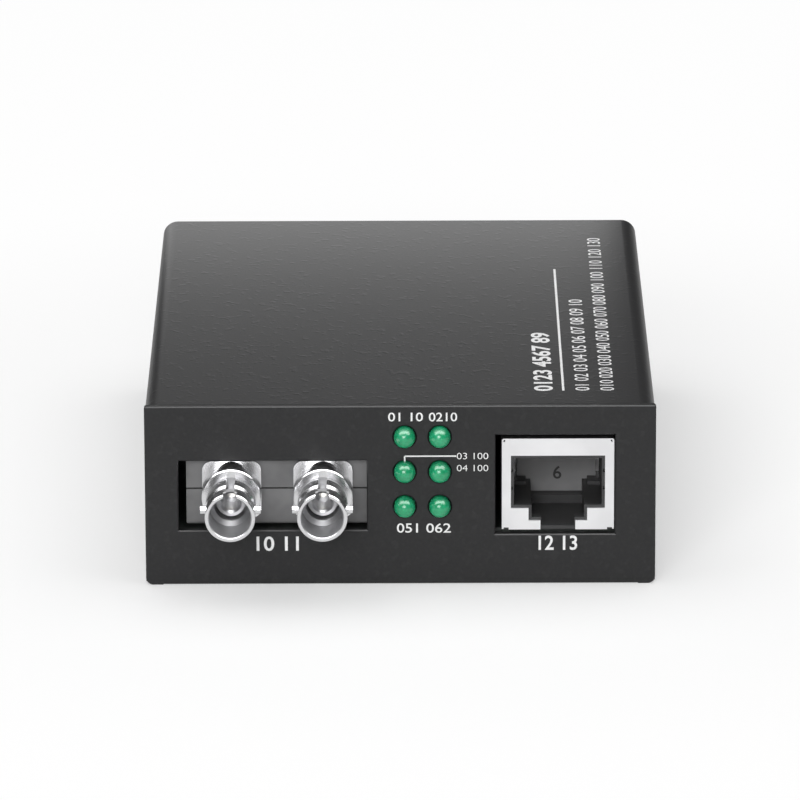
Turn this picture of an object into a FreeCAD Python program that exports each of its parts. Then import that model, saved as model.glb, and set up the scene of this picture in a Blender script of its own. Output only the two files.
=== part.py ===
"""Fibre media converter: a small steel box that joins a copper socket to a pair of fibre ports.

Millimetres. X points right, Y from the front panel to the rear, and Z up. The origin is the middle
of the flat underside. Every size that can be set by itself stands once in SIZES, every place that
follows from them stands in PLACES, and all sketches and features are bound to the sheet's cells.
"""
import FreeCAD, Part
import math
import os
import re
import Sketcher

SIZES = {
    # Folded steel case
    "case_width": 71.0,
    "case_depth": 94.0,
    "case_height": 26.0,
    "sheet": 1.0,
    "cover_bend": 2.2,
    "tray_bend": 1.3,
    "panel_bend": 0.5,
    "tray_relief": 1.2,
    "cover_gap": 0.1,
    "cover_lift": 0.2,
    "flange_height": 8.6,
    "panel_corner": 1.05,
    "panel_top_corner": 0.35,
    "edge_break": 0.15,
    "vent_pitch": 4.0,
    "vent_radius": 0.75,
    "vent_length": 6.5,
    "vent_height": 16.5,
    # Cover screws
    "cover_screw_from_end": 17.0,
    "cover_screw_height": 4.0,
    "cover_screw_shank": 1.25,
    "cover_screw_head": 2.3,
    "cover_screw_length": 4.2,
    "countersink": 0.8,
    "thread_gap": 0.02,
    # Circuit board and what holds it
    "board_thickness": 1.6,
    "board_corner": 0.5,
    "board_side_gap": 0.4,
    "board_front_gap": 0.4,
    "board_rear_gap": 0.4,
    "standoff_height": 5.2,
    "standoff_radius": 2.6,
    "standoff_clinch": 2.1,
    "standoff_spread_across": 59.0,
    "standoff_behind_module": 4.0,
    "standoff_from_rear": 6.6,
    "board_hole": 1.65,
    "board_screw_shank": 1.25,
    "board_screw_head": 2.7,
    "board_screw_head_height": 1.7,
    "board_screw_length": 5.0,
    # Fibre transceiver
    "transceiver_centre": 17.1,
    "transceiver_width": 25.4,
    "transceiver_length": 39.0,
    "transceiver_recess": 2.0,
    "transceiver_lift": 0.45,
    "transceiver_lower": 5.25,
    "transceiver_upper": 4.9,
    "transceiver_wall": 1.2,
    "transceiver_edge": 0.4,
    "seam_break": 0.12,
    "foot_radius": 0.9,
    "foot_from_side": 1.8,
    "foot_from_front": 2.7,
    "port_pitch": 12.7,
    "fibre_room_left": 1.05,
    "fibre_lap_right": 0.25,
    "fibre_sill": 0.15,
    "fibre_head": 0.5,
    # Bayonet port: radii, and stations in front of the panel's outer face
    "flange_corner": 1.3,
    "flange_thickness": 0.6,
    "collar_step": 0.63,
    "collar_front": 2.5,
    "collar_break": 0.12,
    "barrel_radius": 3.47,
    "barrel_wall": 0.57,
    "barrel_front": 11.5,
    "throat_step": 0.55,
    "throat_start": 5.4,
    "throat_end": 6.2,
    "neck_wall": 0.55,
    "neck_end": 4.3,
    "groove_wall": 0.27,
    "groove_start": 7.2,
    "groove_flank": 0.45,
    "groove_end": 9.1,
    "lug_radius": 0.6,
    "lug_height": 0.71,
    "lug_front": 7.6,
    "key_width": 1.9,
    "keyway_width": 1.2,
    "lip_break": 0.12,
    "shank_radius": 2.9,
    "saddle_gap": 0.05,
    "capture_radius": 3.7,
    "capture_thickness": 1.3,
    "tail_length": 9.0,
    "tail_radius": 3.1,
    "can_seat": 3.5,
    # Alignment sleeve and optical cans
    "sleeve_radius": 1.975,
    "sleeve_bore": 1.26,
    "sleeve_front": 4.4,
    "sleeve_rear": 5.2,
    "sleeve_mouth": 0.3,
    "press_gap": 0.01,
    "stub_radius": 0.65,
    "stub_front": 0.3,
    "stub_gap": 0.05,
    "can_radius": 2.3,
    "can_length": 2.4,
    "can_flange_radius": 2.65,
    "can_flange_thickness": 1.0,
    "can_lead_radius": 0.22,
    "can_lead_circle": 1.27,
    "can_lead_length": 5.6,
    "sub_board_thickness": 1.0,
    "sub_board_length": 24.0,
    "sub_board_gap": 0.3,
    "module_pin_pitch": 2.54,
    "module_pin_side": 0.5,
    "module_pin_from_end": 3.2,
    "pin_below_board": 1.6,
    "slot_gap": 0.1,
    # Indicator lamps
    "lamp_radius": 1.5,
    "lamp_hole_gap": 0.08,
    "lamp_left": 0.62,
    "lamp_column_pitch": 4.87,
    "lamp_rise": 3.6,
    "lamp_from_top": 4.46,
    "lamp_reach": 1.8,
    "lamp_tip": 0.002,
    "lamp_body": 5.2,
    "lamp_flange_radius": 1.9,
    "lamp_flange_thickness": 1.0,
    "lamp_lead_side": 0.45,
    "lamp_lead_spread": 2.54,
    "lamp_lead_first_run": 2.2,
    "lamp_lead_step": 2.0,
    "holder_gap": 0.3,
    "holder_border": 2.5,
    "holder_depth": 3.4,
    # Copper socket
    "jack_middle": 21.92,
    "jack_width": 15.6,
    "jack_height": 13.26,
    "jack_depth": 16.0,
    "jack_recess": 0.5,
    "jack_room_left": 0.92,
    "jack_room_right": 0.14,
    "jack_room_below": 0.51,
    "jack_room_above": 0.69,
    "shield_sheet": 0.25,
    "shield_corner": 0.3,
    "shield_gap": 0.05,
    "fold_notch_width": 0.95,
    "fold_notch_height": 0.3,
    "fold_relief": 0.16,
    "fold_relief_inset": 0.32,
    "mouth_width": 13.08,
    "mouth_bottom": 10.91,
    "mouth_top": 18.57,
    "mouth_step_width": 8.16,
    "mouth_step_bottom": 9.12,
    "mouth_notch_width": 4.86,
    "insulator_edge": 0.42,
    "catch_width": 0.28,
    "catch_height": 0.5,
    "catch_depth": 0.8,
    "catch_first": 2.2,
    "catch_pitch": 2.55,
    "plug_depth": 12.0,
    "latch_stop": 1.6,
    "latch_length": 8.5,
    "latch_floor": 8.3,
    "carrier_side_gap": 0.6,
    "carrier_ledge": 2.6,
    "ledge_width": 1.8,
    "ledge_rise": 0.5,
    "contact_pitch": 1.02,
    "contact_side": 0.35,
    "contact_bend": 0.5,
    "contact_roof_gap": 0.75,
    "contact_front": 4.0,
    "contact_tip_depth": 9.5,
    "contact_drop": 1.85,
    "peg_radius": 1.6,
    "peg_spread": 11.4,
    "peg_depth": 7.0,
    "leg_width": 1.6,
    "leg_depth": 9.6,
    # Power inlet
    "inlet_middle": 20.0,
    "inlet_width": 9.0,
    "inlet_height": 11.0,
    "inlet_length": 14.0,
    "inlet_axis": 6.5,
    "inlet_bore": 3.15,
    "inlet_bore_depth": 9.5,
    "inlet_pin": 1.0,
    "inlet_pin_reach": 8.6,
    "inlet_hole": 3.9,
    "blade_thickness": 0.3,
    "blade_width": 2.4,
    # Parts on the circuit board
    "part_gap": 2.0,
    "magnetics_length": 15.2,
    "magnetics_width": 9.6,
    "magnetics_height": 5.6,
    "chip_side": 14.0,
    "chip_height": 1.4,
    "chip_lead_pitch": 0.8,
    "chip_lead_width": 0.32,
    "chip_x": 2.0,
    "lead_reach": 1.1,
    "lead_thickness": 0.16,
    "wide_lead_pitch": 1.27,
    "wide_lead_width": 0.42,
    "memory_length": 4.9,
    "memory_width": 3.9,
    "memory_x": -14.0,
    "crystal_length": 10.5,
    "crystal_x": -14.0,
    "crystal_width": 3.8,
    "crystal_height": 3.5,
    "capacitor_radius": 3.15,
    "capacitor_height": 7.7,
    "capacitor_foot": 6.6,
    "capacitor_gap": 0.8,
    "foot_height": 1.0,
    "crimp_height": 2.6,
    "crimp_depth": 0.3,
    "capacitor_from_rear": 7.0,
    "inductor_side": 7.3,
    "inductor_corner": 1.46,
    "inductor_ring": 3.07,
    "inductor_ring_width": 0.44,
    "inductor_ring_depth": 0.3,
    "inductor_height": 4.2,
    "inductor_x": 0.0,
    "regulator_length": 6.5,
    "regulator_width": 3.5,
    "regulator_height": 1.7,
    "regulator_pitch": 2.3,
    "regulator_tab": 3.0,
    "regulator_x": 0.0,
}

# How many there are of what repeats
VENTS = 12
LAMP_COLUMNS = 2
LAMP_ROWS = 3
MODULE_PINS = 9
CONTACTS = 8
CHIP_LEADS = 16
MEMORY_LEADS = 4
TRANSFORMER_LEADS = 12
REGULATOR_LEADS = 3

PLACES = {
    "front_face": "-case_depth / 2",
    "rear_face": "case_depth / 2",
    "panel_back": "front_face + sheet",
    "tray_half": "case_width / 2 - sheet - cover_gap",
    "floor_half": "tray_half - tray_bend",
    "rear_height": "case_height - sheet - cover_gap",
    "cover_screw_reach": "case_depth / 2 - cover_screw_from_end",
    "board_bottom": "sheet + standoff_height",
    "board_top": "board_bottom + board_thickness",
    "board_half": "tray_half - sheet - board_side_gap",
    "board_front": "panel_back + board_front_gap",
    "board_rear": "rear_face - sheet - board_rear_gap",
    "standoff_front": "module_rear + standoff_behind_module",
    "standoff_rear": "board_rear - standoff_from_rear",
    "standoff_middle": "(standoff_front + standoff_rear) / 2",
    "standoff_reach": "(standoff_rear - standoff_front) / 2",
    "module_front": "front_face + transceiver_recess",
    "module_rear": "module_front + transceiver_length",
    "module_bottom": "board_top + transceiver_lift",
    "module_seam": "module_bottom + transceiver_lower",
    "module_top": "module_seam + transceiver_upper",
    "sub_board_bottom": "module_seam - sub_board_thickness",
    "sub_board_front": "module_rear - transceiver_wall - sub_board_gap - sub_board_length",
    "collar_radius": "barrel_radius + collar_step",
    "flange_size": "2 * collar_radius",
    "fibre_window_left": "-(transceiver_centre) - transceiver_width / 2 - fibre_room_left",
    "fibre_window_right": "transceiver_width / 2 - transceiver_centre - fibre_lap_right",
    "fibre_window_bottom": "board_top + fibre_sill",
    "fibre_window_top": "module_seam + flange_size / 2 + fibre_head",
    "barrel_bore": "barrel_radius - barrel_wall",
    "throat_bore": "barrel_bore - throat_step",
    "neck_radius": "throat_bore + neck_wall",
    "groove_radius": "barrel_bore + groove_wall",
    "lug_reach": "barrel_radius + lug_height",
    "lamp_bottom": "board_top + lamp_rise",
    "lamp_row_pitch": f"(case_height - lamp_from_top - lamp_bottom) / {LAMP_ROWS - 1}",
    "lamp_back": "lamp_body - lamp_reach",
    "holder_front": "sheet + holder_gap",
    "jack_front": "front_face + jack_recess",
    "jack_top": "board_top + jack_height",
    "jack_window_left": "jack_middle - jack_width / 2 - jack_room_left",
    "jack_window_right": "jack_middle + jack_width / 2 + jack_room_right",
    "jack_window_bottom": "board_top - jack_room_below",
    "jack_window_top": "jack_top + jack_room_above",
    "insulator_front": "jack_front + shield_sheet",
    "insulator_half": "jack_width / 2 - shield_sheet - shield_gap",
    "insulator_top": "jack_top - shield_sheet - shield_gap",
    "insulator_rear": "jack_front + jack_depth - shield_sheet - shield_gap",
    "cavity_half": "mouth_width / 2 - insulator_edge",
    "cavity_floor": "mouth_bottom + insulator_edge",
    "cavity_roof": "mouth_top - insulator_edge",
    "channel_half": "mouth_step_width / 2 - insulator_edge",
    "channel_floor": "mouth_step_bottom + insulator_edge",
    "notch_half": "mouth_notch_width / 2 - insulator_edge / 4",
    "carrier_front": "jack_front + plug_depth",
    "inlet_centre_height": "board_top + inlet_axis",
    "inlet_face": "rear_face - sheet - cover_gap",
    "magnetics_y": "jack_front + jack_depth + part_gap + magnetics_length / 2",
    "chip_y": "module_rear + part_gap + lead_reach + chip_side / 2",
    "crystal_y": "chip_y + memory_length / 2 + part_gap + crystal_length / 2",
    "regulator_y": "chip_y + chip_side / 2 + lead_reach + part_gap + regulator_length / 2",
    "inductor_y": "regulator_y + regulator_length / 2 + part_gap + inductor_side / 2",
    "capacitor_y": "board_rear - capacitor_from_rear",
}

doc = FreeCAD.newDocument("media_converter")
sheet = doc.addObject("Spreadsheet::Sheet", "Sizes")
PARTS = []


# ---------------------------------------------------------------- sheet and formulas

def fill_sheet():
    """Write each driving size into the sheet, with its name as the cell's alias."""
    for row, (name, size) in enumerate(SIZES.items(), 1):
        sheet.set(f"A{row}", name)
        sheet.set(f"B{row}", str(size))
        sheet.setAlias(f"B{row}", name)
    doc.recompute()


def formula(text):
    """Turn the names in a formula into references to the sheet's cells."""
    def reference(match):
        name = match[0]
        if name in PLACES:
            return f"({formula(PLACES[name])})"
        return f"Sizes.{name}" if name in SIZES else name
    return re.sub(r"[a-z_]+", reference, text)


def value(text):
    """Work a formula out to a number, with the sheet's present sizes."""
    return float(sheet.evalExpression(formula(text)))


def bind(feature, prop, text):
    """Bind one property of a feature to a formula."""
    feature.setExpression(prop, formula(text))


# ---------------------------------------------------------------- bodies and sketches

def new_body(label, x="0", y="0", z="0"):
    """Start a sub-part whose own origin stands at the given place."""
    body = doc.addObject("PartDesign::Body", label)
    body.Label = label
    for axis, place in (("x", x), ("y", y), ("z", z)):
        bind(body, f"Placement.Base.{axis}", place)
    PARTS.append(body)
    return body


def datum(body, role):
    """Give one of the planes or axes of the body's own origin."""
    return next(item for item in body.Origin.OriginFeatures if item.Role == role)


def new_sketch(body, role, height="0"):
    """Start a sketch on one of the body's planes, moved along its normal (XZ looks along -Y)."""
    sketch = body.newObject("Sketcher::SketchObject", f"{body.Label}_sketch")
    sketch.AttachmentSupport = [(datum(body, role), "")]
    sketch.MapMode = "FlatFace"
    bind(sketch, ".AttachmentOffset.Base.z", height)
    return sketch


def fix_point(sketch, element, end, x, y):
    """Hold a point of a sketch at the given formulas, measured from the sketch's origin."""
    for kind, text in (("DistanceX", x), ("DistanceY", y)):
        index = sketch.addConstraint(Sketcher.Constraint(kind, -1, 1, element, end, value(text)))
        sketch.setExpression(f"Constraints[{index}]", formula(text))


def set_radius(sketch, element, radius):
    """Hold the radius of an arc or circle at a formula."""
    index = sketch.addConstraint(Sketcher.Constraint("Radius", element, value(radius)))
    sketch.setExpression(f"Constraints[{index}]", formula(radius))


def vector(corner):
    """Give a corner's place in its sketch as a vector."""
    return FreeCAD.Vector(value(corner[0]), value(corner[1]), 0)


def corner_arc(before, corner, after):
    """Give the two ends and the middle of the arc that rounds a corner, or the corner itself."""
    point = vector(corner)
    if len(corner) < 3:
        return point, point, None
    back = (vector(before) - point).normalize()
    ahead = (vector(after) - point).normalize()
    half_angle = back.getAngle(ahead) / 2
    radius = value(corner[2])
    reach = radius / math.tan(half_angle)
    inward = (back + ahead).normalize() * (radius / math.sin(half_angle) - radius)
    return point + back * reach, point + ahead * reach, point + inward


def draw(sketch, corners, closed=True):
    """Draw straight runs from corner to corner; a corner with a third formula is rounded."""
    count = len(corners)
    ends = range(count) if closed else range(1, count - 1)
    cuts = {i: corner_arc(corners[i - 1], corners[i], corners[(i + 1) % count]) for i in ends}
    for i in set(range(count)) - set(cuts):
        cuts[i] = (vector(corners[i]), vector(corners[i]), None)
    lines = {}
    for i in range(count if closed else count - 1):
        run = Part.LineSegment(cuts[i][1], cuts[(i + 1) % count][0])
        lines[i] = sketch.addGeometry(run, False)
    for i, corner in enumerate(corners):
        join_corner(sketch, corner, cuts[i], lines.get((i - 1) % count), lines.get(i))


def join_corner(sketch, corner, cut, arriving, leaving):
    """Hold one corner of an outline in place, with its arc if it has one."""
    constrain = sketch.addConstraint
    if cut[2] is None:
        if arriving is None:
            fix_point(sketch, leaving, 1, corner[0], corner[1])
        else:
            fix_point(sketch, arriving, 2, corner[0], corner[1])
        if arriving is not None and leaving is not None:
            constrain(Sketcher.Constraint("Coincident", arriving, 2, leaving, 1))
        return
    arc = sketch.addGeometry(Part.Arc(cut[0], cut[2], cut[1]), False)
    first, last = (1, 2) if arc_runs_forward(sketch, arc, cut[0]) else (2, 1)
    constrain(Sketcher.Constraint("Tangent", arriving, 2, arc, first))
    constrain(Sketcher.Constraint("Tangent", leaving, 1, arc, last))
    set_radius(sketch, arc, corner[2])
    sharp = sketch.addGeometry(Part.Point(vector(corner)), True)
    fix_point(sketch, sharp, 1, corner[0], corner[1])
    for line in (arriving, leaving):
        constrain(Sketcher.Constraint("PointOnObject", sharp, 1, line))


def arc_runs_forward(sketch, arc, start):
    """Tell whether an arc's own first end is the given point."""
    return sketch.getPoint(arc, 1).distanceToPoint(start) < sketch.getPoint(arc, 2).distanceToPoint(start)


def draw_circle(sketch, x, y, radius):
    """Draw a circle."""
    circle = Part.Circle(vector((x, y)), FreeCAD.Vector(0, 0, 1), value(radius))
    index = sketch.addGeometry(circle, False)
    fix_point(sketch, index, 3, x, y)
    set_radius(sketch, index, radius)


def draw_box(sketch, left, bottom, right, top, radius=None):
    """Draw an upright rectangle, with rounded corners if a radius is given."""
    rounding = (radius,) if radius else ()
    places = ((left, bottom), (right, bottom), (right, top), (left, top))
    draw(sketch, [place + rounding for place in places])


def draw_slot(sketch, x, bottom, top, radius):
    """Draw an upright slot with round ends, between two formulas."""
    half = value(radius)
    low = FreeCAD.Vector(value(x), value(bottom) + half, 0)
    high = FreeCAD.Vector(value(x), value(top) - half, 0)
    side = FreeCAD.Vector(half, 0, 0)
    rise = FreeCAD.Vector(0, half, 0)
    upper = sketch.addGeometry(Part.Arc(high + side, high + rise, high - side), False)
    lower = sketch.addGeometry(Part.Arc(low - side, low - rise, low + side), False)
    left = sketch.addGeometry(Part.LineSegment(high - side, low - side), False)
    right = sketch.addGeometry(Part.LineSegment(low + side, high + side), False)
    for arc, leaving, arriving in ((upper, left, right), (lower, right, left)):
        sketch.addConstraint(Sketcher.Constraint("Tangent", arc, 2, leaving, 1))
        sketch.addConstraint(Sketcher.Constraint("Tangent", arriving, 2, arc, 1))
    set_radius(sketch, upper, radius)
    fix_point(sketch, upper, 3, x, f"({top}) - ({radius})")
    fix_point(sketch, lower, 3, x, f"({bottom}) + ({radius})")


# ---------------------------------------------------------------- features

def add_feature(body, kind, profile=None):
    """Add a PartDesign feature to a body, on a sketch if one is given."""
    feature = body.newObject(f"PartDesign::{kind}", f"{body.Label}_{kind.lower()}")
    if profile is not None:
        feature.Profile = profile
    return feature


def finish_feature(body, feature):
    """Make a feature the body's result, and stop if it could not be made."""
    body.Tip = feature
    doc.recompute()
    if {"Invalid", "Error"} & set(feature.State) or feature.Shape.isNull():
        raise RuntimeError(f"{body.Label}: {feature.Label} could not be made")
    return feature


def pad(body, sketch, length, both=False, backward=False):
    """Add material along the sketch's normal, or half of it each way, or against the normal."""
    feature = add_feature(body, "Pad", sketch)
    bind(feature, "Length", length)
    feature.SideType = "Symmetric" if both else "One side"
    feature.Reversed = backward
    return finish_feature(body, feature)


def cut_checked(body, feature):
    """Finish a cutting feature, and stop if it took nothing away."""
    before = body.Shape.Volume
    finish_feature(body, feature)
    if body.Shape.Volume > before - 1e-6:
        raise RuntimeError(f"{body.Label}: {feature.Label} cuts nothing")
    return feature


def pocket(body, sketch, length, both=False, backward=False):
    """Cut against the sketch's normal, or half each way, or along the normal."""
    feature = add_feature(body, "Pocket", sketch)
    bind(feature, "Length", length)
    feature.SideType = "Symmetric" if both else "One side"
    feature.Reversed = backward
    return cut_checked(body, feature)


def revolve(body, sketch, axis="V_Axis"):
    """Turn a sketch round one of its own axes into solid."""
    feature = add_feature(body, "Revolution", sketch)
    feature.ReferenceAxis = (sketch, [axis])
    feature.Angle = 360
    return finish_feature(body, feature)


def bore_out(body, sketch, axis="V_Axis"):
    """Turn a sketch round one of its own axes as a cutter."""
    feature = add_feature(body, "Groove", sketch)
    feature.ReferenceAxis = (sketch, [axis])
    feature.Angle = 360
    return cut_checked(body, feature)


def sweep(body, profile, path):
    """Draw a section along an open path."""
    feature = add_feature(body, "AdditivePipe", profile)
    feature.Spine = path
    return finish_feature(body, feature)


def mirror(body, *roles):
    """Mirror everything made so far across one or more of the body's planes."""
    for role in roles:
        feature = add_feature(body, "Mirrored")
        feature.TransformMode = "Whole shape"
        feature.MirrorPlane = (datum(body, role), [""])
        finish_feature(body, feature)


def repeat(body, role, pitch, count, original=None, backward=False):
    """Repeat everything made so far, or one feature, along one of the body's axes."""
    feature = add_feature(body, "LinearPattern")
    feature.TransformMode = "Features" if original else "Whole shape"
    if original:
        feature.Originals = [original]
    feature.Direction = (datum(body, role), [""])
    feature.Mode = "Spacing"
    bind(feature, "Offset", pitch)
    feature.Occurrences = count
    feature.Reversed = backward
    return finish_feature(body, feature)


def edges_where(body, test):
    """Name the edges of the body's present shape that pass a test."""
    return [f"Edge{i}" for i, edge in enumerate(body.Tip.Shape.Edges, 1) if test(edge)]


def soften(body, kind, size, test):
    """Round ("Fillet") or bevel ("Chamfer") the edges that pass a test."""
    base = body.Tip
    names = edges_where(body, test)
    if not names:
        raise RuntimeError(f"{body.Label}: no edge to soften")
    feature = add_feature(body, kind)
    feature.Base = (base, names)
    bind(feature, "Radius" if kind == "Fillet" else "Size", size)
    return finish_feature(body, feature)


def near(number, options):
    """Tell whether a number is one of the given formulas' values."""
    options = (options,) if isinstance(options, str) else options
    return any(abs(number - value(option)) < 1e-5 for option in options)


def in_plane(axis, *places):
    """Test for edges that lie in a plane square to an axis, at one of the given places."""
    def test(edge):
        return all(near(getattr(vertex.Point, axis), places) for vertex in edge.Vertexes) and near(
            getattr(edge.CenterOfMass, axis), places)
    return test


def straight(axis, **places):
    """Test for straight edges along an axis whose other coordinates are as given."""
    def test(edge):
        if edge.Curve.TypeId != "Part::GeomLine":
            return False
        if abs(abs(getattr(edge.tangentAt(edge.FirstParameter), axis)) - 1) > 1e-6:
            return False
        return all(near(getattr(edge.CenterOfMass, name), at) for name, at in places.items())
    return test


def circle_of(radius, **places):
    """Test for full circles of a radius whose centre is as given."""
    def test(edge):
        if edge.Curve.TypeId != "Part::GeomCircle" or not near(edge.Curve.Radius, radius):
            return False
        return all(near(getattr(edge.Curve.Center, name), at) for name, at in places.items())
    return test


def both_sides(text):
    """Give a place and its mirror image."""
    return (text, f"-({text})")


# ---------------------------------------------------------------- folded steel case

def panel_outline(half, top, top_corner, bend):
    """Outline of a panel on its ears: the middle of its lower edge leaves room for the bend."""
    return [(f"-({half})", top, top_corner), (f"-({half})", "0", "panel_corner"), ("-(floor_half)", "0"),
            ("-(floor_half)", bend), ("floor_half", bend), ("floor_half", "0"),
            (half, "0", "panel_corner"), (half, top, top_corner)]


def make_base_tray():
    """Floor with two side flanges, the full-width front panel and the inset rear panel."""
    body = new_body("base_tray")
    channel = new_sketch(body, "XZ_Plane")
    draw(channel, [
        ("-(tray_half)", "flange_height"), ("-(tray_half)", "0", "tray_bend"),
        ("tray_half", "0", "tray_bend"), ("tray_half", "flange_height"),
        ("tray_half - sheet", "flange_height"), ("tray_half - sheet", "sheet", "tray_bend - sheet"),
        ("sheet - tray_half", "sheet", "tray_bend - sheet"), ("sheet - tray_half", "flange_height")])
    pad(body, channel, "case_depth - 2 * (sheet + tray_relief)", both=True)

    strip = new_sketch(body, "YZ_Plane")
    draw(strip, [
        ("front_face", "case_height"), ("front_face", "0", "panel_bend"),
        ("rear_face", "0", "tray_bend"), ("rear_face", "rear_height"),
        ("rear_face - sheet", "rear_height"), ("rear_face - sheet", "sheet", "tray_bend - sheet"),
        ("panel_back", "sheet"), ("panel_back", "case_height")])
    pad(body, strip, "2 * floor_half", both=True)

    front = new_sketch(body, "XZ_Plane", "-(panel_back)")
    draw(front, panel_outline("case_width / 2", "case_height", "panel_top_corner", "panel_bend"))
    pad(body, front, "sheet")
    rear = new_sketch(body, "XZ_Plane", "-(rear_face)")
    draw(rear, panel_outline("tray_half", "rear_height", "cover_bend - sheet", "tray_bend"))
    pad(body, rear, "sheet")

    cut_front_panel(body)
    cut_tray_holes(body)
    return body


def cut_front_panel(body):
    """Windows of the two sockets and the six lamp holes, with their edges broken."""
    windows = new_sketch(body, "XZ_Plane", "-(front_face)")
    draw_box(windows, "fibre_window_left", "fibre_window_bottom", "fibre_window_right", "fibre_window_top")
    draw_box(windows, "jack_window_left", "jack_window_bottom", "jack_window_right", "jack_window_top")
    pocket(body, windows, "sheet")
    lamps = new_sketch(body, "XZ_Plane", "-(front_face)")
    for column in range(LAMP_COLUMNS):
        for row in range(LAMP_ROWS):
            draw_circle(lamps, lamp_x(column), lamp_z(row), "lamp_radius + lamp_hole_gap")
    pocket(body, lamps, "sheet")
    on_face = in_plane("y", "front_face")
    beside_bend = straight("z", x=both_sides("floor_half"))
    soften(body, "Chamfer", "edge_break", lambda edge: (
        on_face(edge) and not beside_bend(edge) and not near(edge.CenterOfMass.z, "panel_bend")))


def cut_tray_holes(body):
    """Holes for the clinched standoffs, the cover's screws and the power inlet."""
    floor = new_sketch(body, "XY_Plane", "sheet")
    for x in both_sides("standoff_spread_across / 2"):
        for y in ("standoff_front", "standoff_rear"):
            draw_circle(floor, x, y, "standoff_clinch")
    pocket(body, floor, "sheet")
    flanges = new_sketch(body, "YZ_Plane")
    for y in both_sides("cover_screw_reach"):
        draw_circle(flanges, y, "cover_screw_height", "cover_screw_shank + thread_gap")
    pocket(body, flanges, "case_width", both=True)
    inlet = new_sketch(body, "XZ_Plane", "-(rear_face)")
    draw_circle(inlet, "inlet_middle", "inlet_centre_height", "inlet_hole")
    pocket(body, inlet, "sheet", backward=True)


def make_top_cover():
    """Top and two sides in one fold, with slots to let warm air out and countersunk holes."""
    body = new_body("top_cover")
    fold = new_sketch(body, "XZ_Plane", "-(rear_face)")
    draw(fold, [
        ("-case_width / 2", "cover_lift"), ("-case_width / 2", "case_height", "cover_bend"),
        ("case_width / 2", "case_height", "cover_bend"), ("case_width / 2", "cover_lift"),
        ("case_width / 2 - sheet", "cover_lift"),
        ("case_width / 2 - sheet", "case_height - sheet", "cover_bend - sheet"),
        ("sheet - case_width / 2", "case_height - sheet", "cover_bend - sheet"),
        ("sheet - case_width / 2", "cover_lift")])
    pad(body, fold, "case_depth - sheet - cover_gap")
    slot = new_sketch(body, "YZ_Plane")
    first_vent = f"-(vent_pitch * {VENTS - 1}) / 2"
    draw_slot(slot, first_vent, "vent_height - vent_length / 2", "vent_height + vent_length / 2",
              "vent_radius")
    first = pocket(body, slot, "case_width * 2", both=True)
    repeat(body, "Y_Axis", "vent_pitch", VENTS, original=first)
    holes = new_sketch(body, "YZ_Plane")
    for y in both_sides("cover_screw_reach"):
        draw_circle(holes, y, "cover_screw_height", "cover_screw_head - countersink")
    pocket(body, holes, "case_width * 2", both=True)
    outer_rim = circle_of("cover_screw_head - countersink", x=both_sides("case_width / 2"))
    soften(body, "Chamfer", "countersink", outer_rim)
    return body


def make_cover_screws():
    """Four countersunk screws through the cover's sides into the tray's flanges."""
    body = new_body("cover_screws", z="cover_screw_height")
    section = new_sketch(body, "XZ_Plane", "-(cover_screw_reach)")
    face = "case_width / 2 - thread_gap"
    cone_end = f"{face} - cover_screw_head + cover_screw_shank"
    tip = f"{face} - cover_screw_length"
    draw(section, [
        (face, "0"), (face, "cover_screw_head - thread_gap"), (cone_end, "cover_screw_shank - thread_gap"),
        (tip, "cover_screw_shank - thread_gap"), (tip, "0")])
    revolve(body, section, "H_Axis")
    mirror(body, "YZ_Plane", "XZ_Plane")
    return body


# ---------------------------------------------------------------- board and standoffs

def standoff_body(label):
    """Start a body centred between the four standoffs."""
    return new_body(label, y="standoff_middle")


def make_main_board():
    """Glass-fibre circuit board that carries everything inside the case."""
    body = new_body("main_board")
    outline = new_sketch(body, "XY_Plane", "board_bottom")
    draw_box(outline, "-(board_half)", "board_front", "board_half", "board_rear", "board_corner")
    pad(body, outline, "board_thickness")
    holes = new_sketch(body, "XY_Plane", "board_top")
    for x in both_sides("standoff_spread_across / 2"):
        for y in ("standoff_front", "standoff_rear"):
            draw_circle(holes, x, y, "board_hole")
    for side in both_sides("peg_spread / 2"):
        draw_circle(holes, f"jack_middle + {side}", "jack_front + peg_depth", "peg_radius + saddle_gap")
    pocket(body, holes, "board_thickness")
    cut_lead_slots(body)
    return body


def cut_lead_slots(body):
    """Plated slots in the main board for every lead, tag and leg that passes through it."""
    slots = new_sketch(body, "XY_Plane", "board_top")
    for x, y, half_across, half_along in lead_places():
        room = "slot_gap"
        draw_box(slots, f"{x} - ({half_across} + {room})", f"{y} - ({half_along} + {room})",
                 f"{x} + ({half_across} + {room})", f"{y} + ({half_along} + {room})")
    pocket(body, slots, "board_thickness")


def lead_places():
    """Give the middle and half sizes of each lead that passes through the main board."""
    for pin in range(MODULE_PINS):
        x = f"module_pin_pitch * {pin - (MODULE_PINS - 1) / 2} - transceiver_centre"
        yield x, "module_rear - module_pin_from_end", "module_pin_side / 2", "module_pin_side / 2"
    for column in range(LAMP_COLUMNS):
        for row in range(LAMP_ROWS):
            y = f"front_face + {lead_bend(row)}"
            for side in both_sides("lamp_lead_spread / 2"):
                yield f"{lamp_x(column)} + {side}", y, "lamp_lead_side / 2", "lamp_lead_side / 2"
    for side in both_sides("jack_width / 2 - shield_sheet / 2"):
        yield f"jack_middle + ({side})", "jack_front + leg_depth", "shield_sheet / 2", "leg_width / 2"
    for y in ("blade_width - inlet_length", "-inlet_length / 2"):
        yield "inlet_middle", f"inlet_face + {y}", "blade_width / 2", "blade_thickness / 2"
    yield ("inlet_middle + inlet_width / 2 + blade_thickness / 2", "inlet_face - inlet_length / 2",
           "blade_thickness / 2", "blade_width / 2")


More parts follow.
